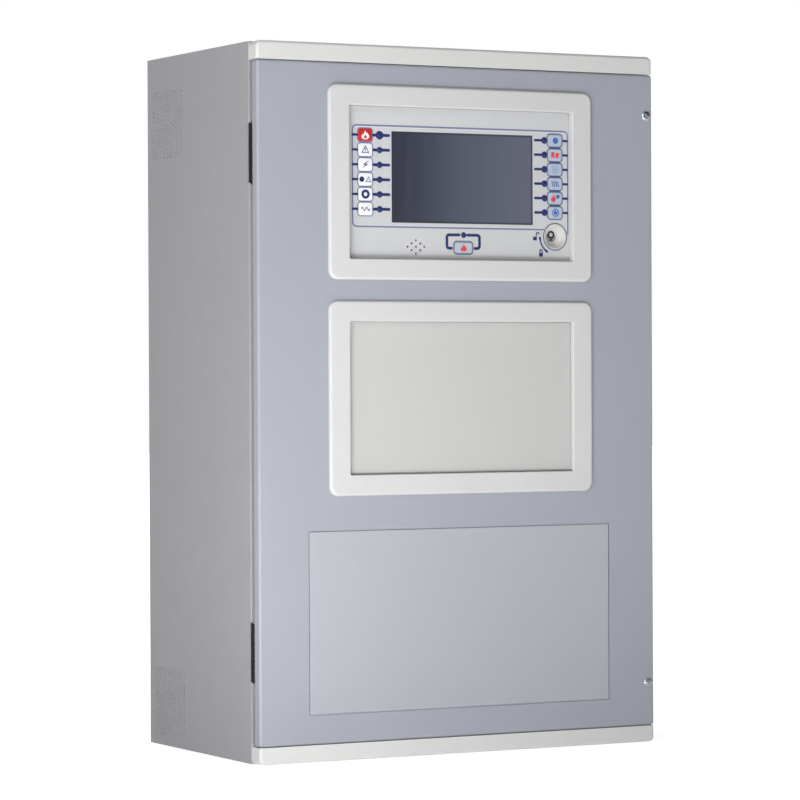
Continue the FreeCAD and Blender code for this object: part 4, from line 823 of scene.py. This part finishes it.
def add_board_parts():
    """Chips, capacitors, connectors and small parts on the display unit's board."""
    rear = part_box("cpu_board")[1].y / MM
    zc = 209.0
    bm = bmesh.new()
    legs = bmesh.new()
    chips = [(-20, 30, 24, 24, 1.8), (30, 34, 20, 20, 1.6), (62, 12, 12, 10, 1.5), (-52, 38, 14, 9, 1.5),
             (18, -6, 16, 11, 1.6), (-18, -12, 10, 8, 1.4), (70, 44, 9, 9, 1.5)]
    for dx, dz, w, h, t in chips:
        z = zc + dz
        box_in(bm, dx - w / 2 + 1, dx + w / 2 - 1, rear + 0.2, rear + t, z - h / 2 + 1, z + h / 2 - 1, 0.25)
        count = int((w - 3) / 1.3)
        for k in range(count):
            x = dx + (k - (count - 1) / 2) * 1.3
            for s in (-1, 1):
                z0, z1 = sorted((z + s * (h / 2 - 1.1), z + s * (h / 2 + 0.5)))
                box_in(legs, x - 0.25, x + 0.25, rear + 0.02, rear + 0.5, z0, z1)
    for z in ROWS:
        box_in(bm, BUTTON_X - 3, BUTTON_X + 3, -235.2, -233.0, z - 3, z + 3, 0.3)
    box_in(bm, ALARM_X - 3, ALARM_X + 3, -235.2, -233.0, ALARM_Z - 3, ALARM_Z + 3, 0.3)
    chips_piece = from_bmesh("board_chips", bm, chip_black, "door")
    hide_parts("board_components")
    bm = bmesh.new()
    for dx, dz, r, h in ((-80, 40, 4, 11), (-80, 26, 4, 11), (48, -30, 5, 12), (62, -30, 5, 12)):
        turned_in(bm, dx, zc + dz, [(r, rear), (r, rear + 1.2), (r * 0.93, rear + 1.7), (r, rear + 2.3),
                                    (r, rear + h - 0.8), (r * 0.9, rear + h - 0.2)])
        turned_in(legs, dx, zc + dz, [(r * 0.86, rear + h - 0.4), (r * 0.86, rear + h)])
    from_bmesh("board_capacitors", bm, sleeve_blue, "door", smooth=True)
    for i in range(12):
        for j in range(5):
            x, z = -98 + 16.5 * i + 3 * ((i * j) % 3), zc - 46 + 21 * j + 4 * ((i + j) % 2)
            box_in(legs, x - 0.9, x + 0.9, rear, rear + 0.55, z - 0.55, z + 0.55)
    for k in range(10):
        box_in(legs, 13.6 + 1.3 * k, 14.1 + 1.3 * k, rear + 8.8, rear + 9.0, zc - 61, zc - 52)
    from_bmesh("board_metal", legs, zinc, "door")
    bm = bmesh.new()
    box_in(bm, -110.5, -101.5, rear, rear + 8, CARRIER_Z - 19, CARRIER_Z + 19, 0.5)
    for dx in (-60, -34, 34):
        box_in(bm, dx - 11, dx + 11, rear, rear + 11, zc - 62, zc - 50, 0.5)
    box_in(bm, 13.5, 26.5, rear, rear + 9, zc - 63, zc - 49, 0.4)
    from_bmesh("board_connectors", bm, connector_cream, "door")


def add_batteries():
    """Coloured terminal rings, cable lugs, labels and vent caps of the two batteries."""
    red, black, lugs, caps = (bmesh.new() for _ in range(4))
    for i, x in enumerate(TERMINAL_XS):
        collar = red if i % 2 == 0 else black
        loops = [level_at(collar, circle(x, TERMINAL_Y, r, 24), TERMINAL_Z + rise)
                 for r, rise in ((7.4, 0.05), (9.6, 0.05), (9.6, 0.9), (7.4, 0.9))]
        skin(collar, loops + loops[:1], capped=False)
        out = -1 if i != 1 else 1
        x0, x1 = sorted((x + out * 5.2, x + out * 8.8))
        box_in(lugs, x0, x1, TERMINAL_Y - 2.6, TERMINAL_Y + 2.6, TERMINAL_Z + 2.6, TERMINAL_Z + 3.5, 0.2)
        box_in(lugs, x - 6.2, x + 6.2, TERMINAL_Y - 5.2, TERMINAL_Y + 5.2, TERMINAL_Z + 2.55,
               TERMINAL_Z + 3.3, 0.3)
    for cx in BATTERY_XS:
        for k in range(6):
            centre = (cx - 57.5 + 23 * k, BATTERY_FRONT + 92)
            skin(caps, [level_at(caps, circle(*centre, r, 24), BATTERY_TOP + rise)
                        for r, rise in ((7.0, 0.05), (6.6, 0.9))])
    from_bmesh("terminal_rings_red", red, cable_red, "cabinet")
    from_bmesh("terminal_rings_black", black, cable_black, "cabinet")
    from_bmesh("lead_lugs", lugs, zinc, "cabinet")
    from_bmesh("battery_vent_caps", caps, battery_plastic, "cabinet")
    labels, bands = [], []
    for cx in BATTERY_XS:
        labels.append(round_rectangle(cx, BATTERY_TOP - 62, 118, 50, 2))
        bands.append(round_rectangle(cx, BATTERY_TOP - 43, 118, 12, 1.5))
        for k in range(3):
            bands.append(round_rectangle(cx - 12 - 4 * k, BATTERY_TOP - 59 - 8 * k, 74 - 8 * k, 1.8, 0.6))
    marks("battery_labels", labels, BATTERY_FRONT - 0.15, 0.2, label_white, "cabinet")
    marks("battery_label_print", bands, BATTERY_FRONT - 0.25, 0.2, blue_print, "cabinet")


def add_leads():
    """Battery leads and power leads along the routes of the plain ones, in their real colours."""
    plus, link_a, link_b, minus = TERMINAL_XS
    y, z = TERMINAL_Y, TERMINAL_Z + 4
    entry_y, entry_z = STEP_Y - 5.75, 95.5
    plus_way, minus_way = STRIP_XS[0] - WAY_PITCH, STRIP_XS[0] + WAY_PITCH
    red = [(plus - 6.5, y, z), (plus - 10, y, z + 8), (plus - 18, y + 2, z + 18),
           (plus - 31, y + 8, z + 32), (-197, y + 16, z + 62), (-201, y + 26, z + 105),
           (-203, y + 38, z + 150), (-202, y + 52, z + 195),
           (-197, y + 67, z + 238), (-187, y + 79, z + 268), (-177, y + 85, z + 289),
           (plus_way, entry_y - 1, entry_z - 14), (plus_way, entry_y, entry_z)]
    link = [(link_a + 6.5, y, z), (link_a + 9, y, z + 8), (link_a + 16, y - 2, z + 16), (0, y - 3, z + 19.5),
            (link_b - 16, y - 2, z + 16), (link_b - 9, y, z + 8), (link_b - 6.5, y, z)]
    black = [(minus - 6.5, y, z), (minus - 10, y, z + 8), (minus - 19, y + 3, z + 17),
             (minus - 36, y + 8, z + 27), (82, y + 16, z + 41), (36, y + 23, z + 52),
             (-14, y + 29, z + 62), (-64, y + 33, z + 74),
             (-112, y + 36, z + 93), (-152, y + 38, z + 120), (-178, y + 43, z + 156),
             (-189, y + 51, z + 198), (-187, y + 63, z + 238), (-176, y + 77, z + 270),
             (-165, y + 85, z + 291),
             (minus_way, entry_y - 1, entry_z - 14), (minus_way, entry_y, entry_z)]
    add_wire("battery_lead_red", [red], 1.7, cable_red, "cabinet", ["battery_leads"])
    add_wire("battery_lead_black", [black, link], 1.7, cable_black, "cabinet")
    mains = []
    for i in range(3):
        zs = -77.0 + 9.2 * i
        x = 67.0 + 11.2 * min(i, 1)
        z_block = -70.0 if i < 2 else -42.0
        mains.append([(-2, -49.5, zs), (-1, -60.5, zs), (17, -66.5 - 2 * i, zs + 1),
                      (39, -66.5 - 2 * i, z_block - 1), (x - 4, -60.5, z_block), (x, -44, z_block),
                      (x, -32, z_block)])
    add_wire("mains_lead_brown", mains[:1], 1.5, cable_brown, "cabinet", ["power_leads"])
    add_wire("mains_lead_blue", mains[1:2], 1.5, cable_blue, "cabinet")
    earth = add_wire("mains_lead_earth", mains[2:], 1.5, earth_green, "cabinet", stripe=2)
    earth.data.materials.append(earth_yellow.material)
    for i, (name, shader) in enumerate((("red", cable_red), ("black", cable_black))):
        zs = -77.0 + 9.2 * (5 + i)
        x_top = slot_x(0.5) + 22 - WAY_PITCH * (2 - 3 * i)
        add_wire(f"supply_lead_{name}", [[(-2, -49.5, zs), (-3, -61.5, zs), (-25, -68.5 - 5 * i, zs + 10),
                                          (-65 + 14 * i, -74.5, 20 + 6 * i), (x_top + 10, -78.5, 52 + 4 * i),
                                          (x_top, entry_y - 1, 76), (x_top, entry_y, entry_z)]],
                 1.5, shader, "cabinet")


def rounded_path(points, radius, step=6):
    """Flat path with its corners rounded, as close points."""
    knots = [Vector(p) for p in points]
    path = [knots[0]]
    for before, here, after in zip(knots, knots[1:], knots[2:]):
        back, ahead = (before - here).normalized(), (after - here).normalized()
        half = back.angle(ahead) / 2
        centre = here + (back + ahead).normalized() * (radius / math.sin(half))
        first = here + back * (radius / math.tan(half)) - centre
        last = here + ahead * (radius / math.tan(half)) - centre
        turn = first.angle_signed(last)
        for k in range(step + 1):
            a = -turn * k / step
            path.append(centre + Vector((first.x * math.cos(a) - first.y * math.sin(a),
                                         first.x * math.sin(a) + first.y * math.cos(a))))
    path.append(knots[-1])
    dense = []
    for a, b in zip(path, path[1:]):
        pieces = max(1, int((b - a).length / 4))
        dense += [a.lerp(b, k / pieces) for k in range(pieces)]
    return dense + [path[-1]]


def add_ribbon():
    """Ribbed flat cable laid across the hinge with rounded bends."""
    route = [(-102, -222.9), (-190, -222.9), (-205.5, -203), (-205.5, -168), (-160, -140), (-205.5, -112),
             (-205.5, -34), (-197, -18.5)]
    path = rounded_path(route, 8.0)
    ribs, pitch, thick = 20, 1.7, 0.42
    bm = bmesh.new()
    across = []
    for k in range(ribs * 4 + 1):
        z = CARRIER_Z - ribs * pitch / 2 + k * pitch / 4
        across.append((z, thick * (0.35 if k % 4 == 0 else 0.85 if k % 2 else 1.0)))
    section = [(z, t) for z, t in across] + [(z, -t) for z, t in reversed(across)]
    loops = []
    for i, p in enumerate(path):
        ahead = (path[min(i + 1, len(path) - 1)] - path[max(i - 1, 0)]).normalized()
        normal = Vector((-ahead.y, ahead.x))
        loops.append([bm.verts.new(((p.x + normal.x * t) * MM, (p.y + normal.y * t) * MM, z * MM))
                      for z, t in section])
    for row in skin(bm, loops):
        for face in row[:3] + row[-4:]:
            face.material_index = 1
    ribbon = finished("ribbon_strip", bm, ribbon_plastic, cable_red)
    ribbon.data.shade_smooth()
    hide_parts("ribbon_cable")
    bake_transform(ribbon)


def add_earth_lead():
    """Green and yellow earth lead laid across the hinge in a curve."""
    route = [(-180, -243.5, -103.7), (-180.5, -240.5, -115), (-182, -233, -128), (-185, -222, -139),
             (-189, -209, -145), (-194, -197, -145), (-199, -187, -139), (-204, -180, -129),
             (-208, -176.5, -116), (-210.5, -176, -103.7)]
    bm = bmesh.new()
    wire_in(bm, route, 1.8, 16, stripe=3)
    lead_piece = finished("earth_lead", bm, earth_green, earth_yellow)
    lead_piece.data.shade_smooth()
    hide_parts("earth_strap")
    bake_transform(lead_piece)


add_module_details()
add_power_details()
add_vent_screens()
add_entry_edging()
add_board_parts()
add_batteries()
add_leads()
add_ribbon()
add_earth_lead()


# ---- light, floor and camera --------------------------------------------------------------------
def add_camera():
    """Camera at the viewing angle of the picture."""
    yaw, pitch, roll = math.radians(28.03), math.radians(-0.42), math.radians(-0.25)
    forward = Vector((math.sin(yaw) * math.cos(pitch), math.cos(yaw) * math.cos(pitch), math.sin(pitch)))
    right = Vector((math.cos(yaw), -math.sin(yaw), 0))
    up = right.cross(forward)
    right_rolled = math.cos(roll) * right + math.sin(roll) * up
    up_rolled = -math.sin(roll) * right + math.cos(roll) * up
    data = bpy.data.cameras.new("camera")
    data.sensor_width = 36.0
    data.lens = 158.93
    data.clip_end = 100.0
    camera = bpy.data.objects.new("camera", data)
    axes = Matrix((right_rolled, up_rolled, -forward)).transposed().to_4x4()
    camera.matrix_world = Matrix.Translation((-1.6532, -3.2308, 0.0264)) @ axes
    bpy.context.scene.collection.objects.link(camera)
    bpy.context.scene.camera = camera


def add_softbox(name, place, aim, size, power, colour=(1, 1, 1)):
    """Square area light that points at a place."""
    data = bpy.data.lights.new(name, "AREA")
    data.shape = "RECTANGLE"
    data.size, data.size_y = size
    data.energy = power
    data.color = colour
    light = bpy.data.objects.new(name, data)
    direction = Vector(aim) - Vector(place)
    turn = direction.to_track_quat("-Z", "Y").to_matrix().to_4x4()
    light.matrix_world = Matrix.Translation(place) @ turn
    light.visible_camera = False
    bpy.context.scene.collection.objects.link(light)


LIGHTS = {
    "key_high": ((-1.10, -1.30, 1.30), (0.7, 0.7), 10.8),
    "key_side": ((-0.95, -0.80, 0.45), (0.4, 0.4), 2.4),
    "low_left": ((-0.60, -0.90, -0.28), (0.5, 0.1), 2.7),
    "low_strip": ((-0.30, -0.75, -0.31), (1.2, 0.05), 1.5),
    "right_fill": ((1.10, 0.20, 0.20), (0.7, 0.7), 2.0),
    "rear": ((0.10, 1.10, 0.50), (0.9, 0.9), 5.0),
    "top_fill": ((0.00, 0.15, 1.20), (0.5, 0.5), 2.5),
}
SURROUNDINGS = 0.03


def add_studio():
    """Plain pale floor, white surroundings and soft light."""
    world = bpy.data.worlds.new("surroundings")
    bpy.context.scene.world = world
    world.use_nodes = True
    tree = world.node_tree
    background = tree.nodes["Background"]
    background.inputs["Color"].default_value = (1, 1, 1, 1)
    seen = tree.nodes.new("ShaderNodeLightPath")
    strength = tree.nodes.new("ShaderNodeMapRange")
    strength.inputs["To Min"].default_value = SURROUNDINGS
    tree.links.new(seen.outputs["Is Camera Ray"], strength.inputs["Value"])
    tree.links.new(strength.outputs["Result"], background.inputs["Strength"])
    mesh = bpy.data.meshes.new("floor")
    bm = bmesh.new()
    bmesh.ops.create_grid(bm, x_segments=1, y_segments=1, size=12)
    bmesh.ops.translate(bm, verts=bm.verts, vec=(0, 0, cad_box[0][2] - 0.001))
    bm.to_mesh(mesh)
    bm.free()
    floor = bpy.data.objects.new("floor", mesh)
    bpy.context.scene.collection.objects.link(floor)
    paint = Shader("floor_paint", (0.92, 0.92, 0.92, 1), 0.7, Emission_Color=(1, 1, 1, 1))
    paint.tint(paint.ramp(paint.noise(3.0, 3.0), 0.4, 0.7, 0.0, 0.3), (0.9, 0.9, 0.905, 1))
    spot = paint.math("POWER", paint.axis(0), 2.0), paint.math("POWER", paint.axis(1), 2.0)
    away = paint.math("SQRT", paint.math("ADD", spot[0], spot[1]))
    glow = paint.ramp(away, 0.35, 1.3, 0.3, 1.0, True)
    seen = paint.node("ShaderNodeLightPath").outputs["Is Camera Ray"]
    glow = paint.math("ADD", glow, paint.ramp(seen, 0.0, 1.0, 0.0, 0.45))
    paint.link(glow, paint.bsdf.inputs["Emission Strength"])
    floor.data.materials.append(paint.material)
    for name, (place, size, power) in LIGHTS.items():
        add_softbox(name, place, (0, -0.2, 0), size, power)


add_camera()
add_studio()
bpy.context.scene.view_settings.view_transform = "Standard"
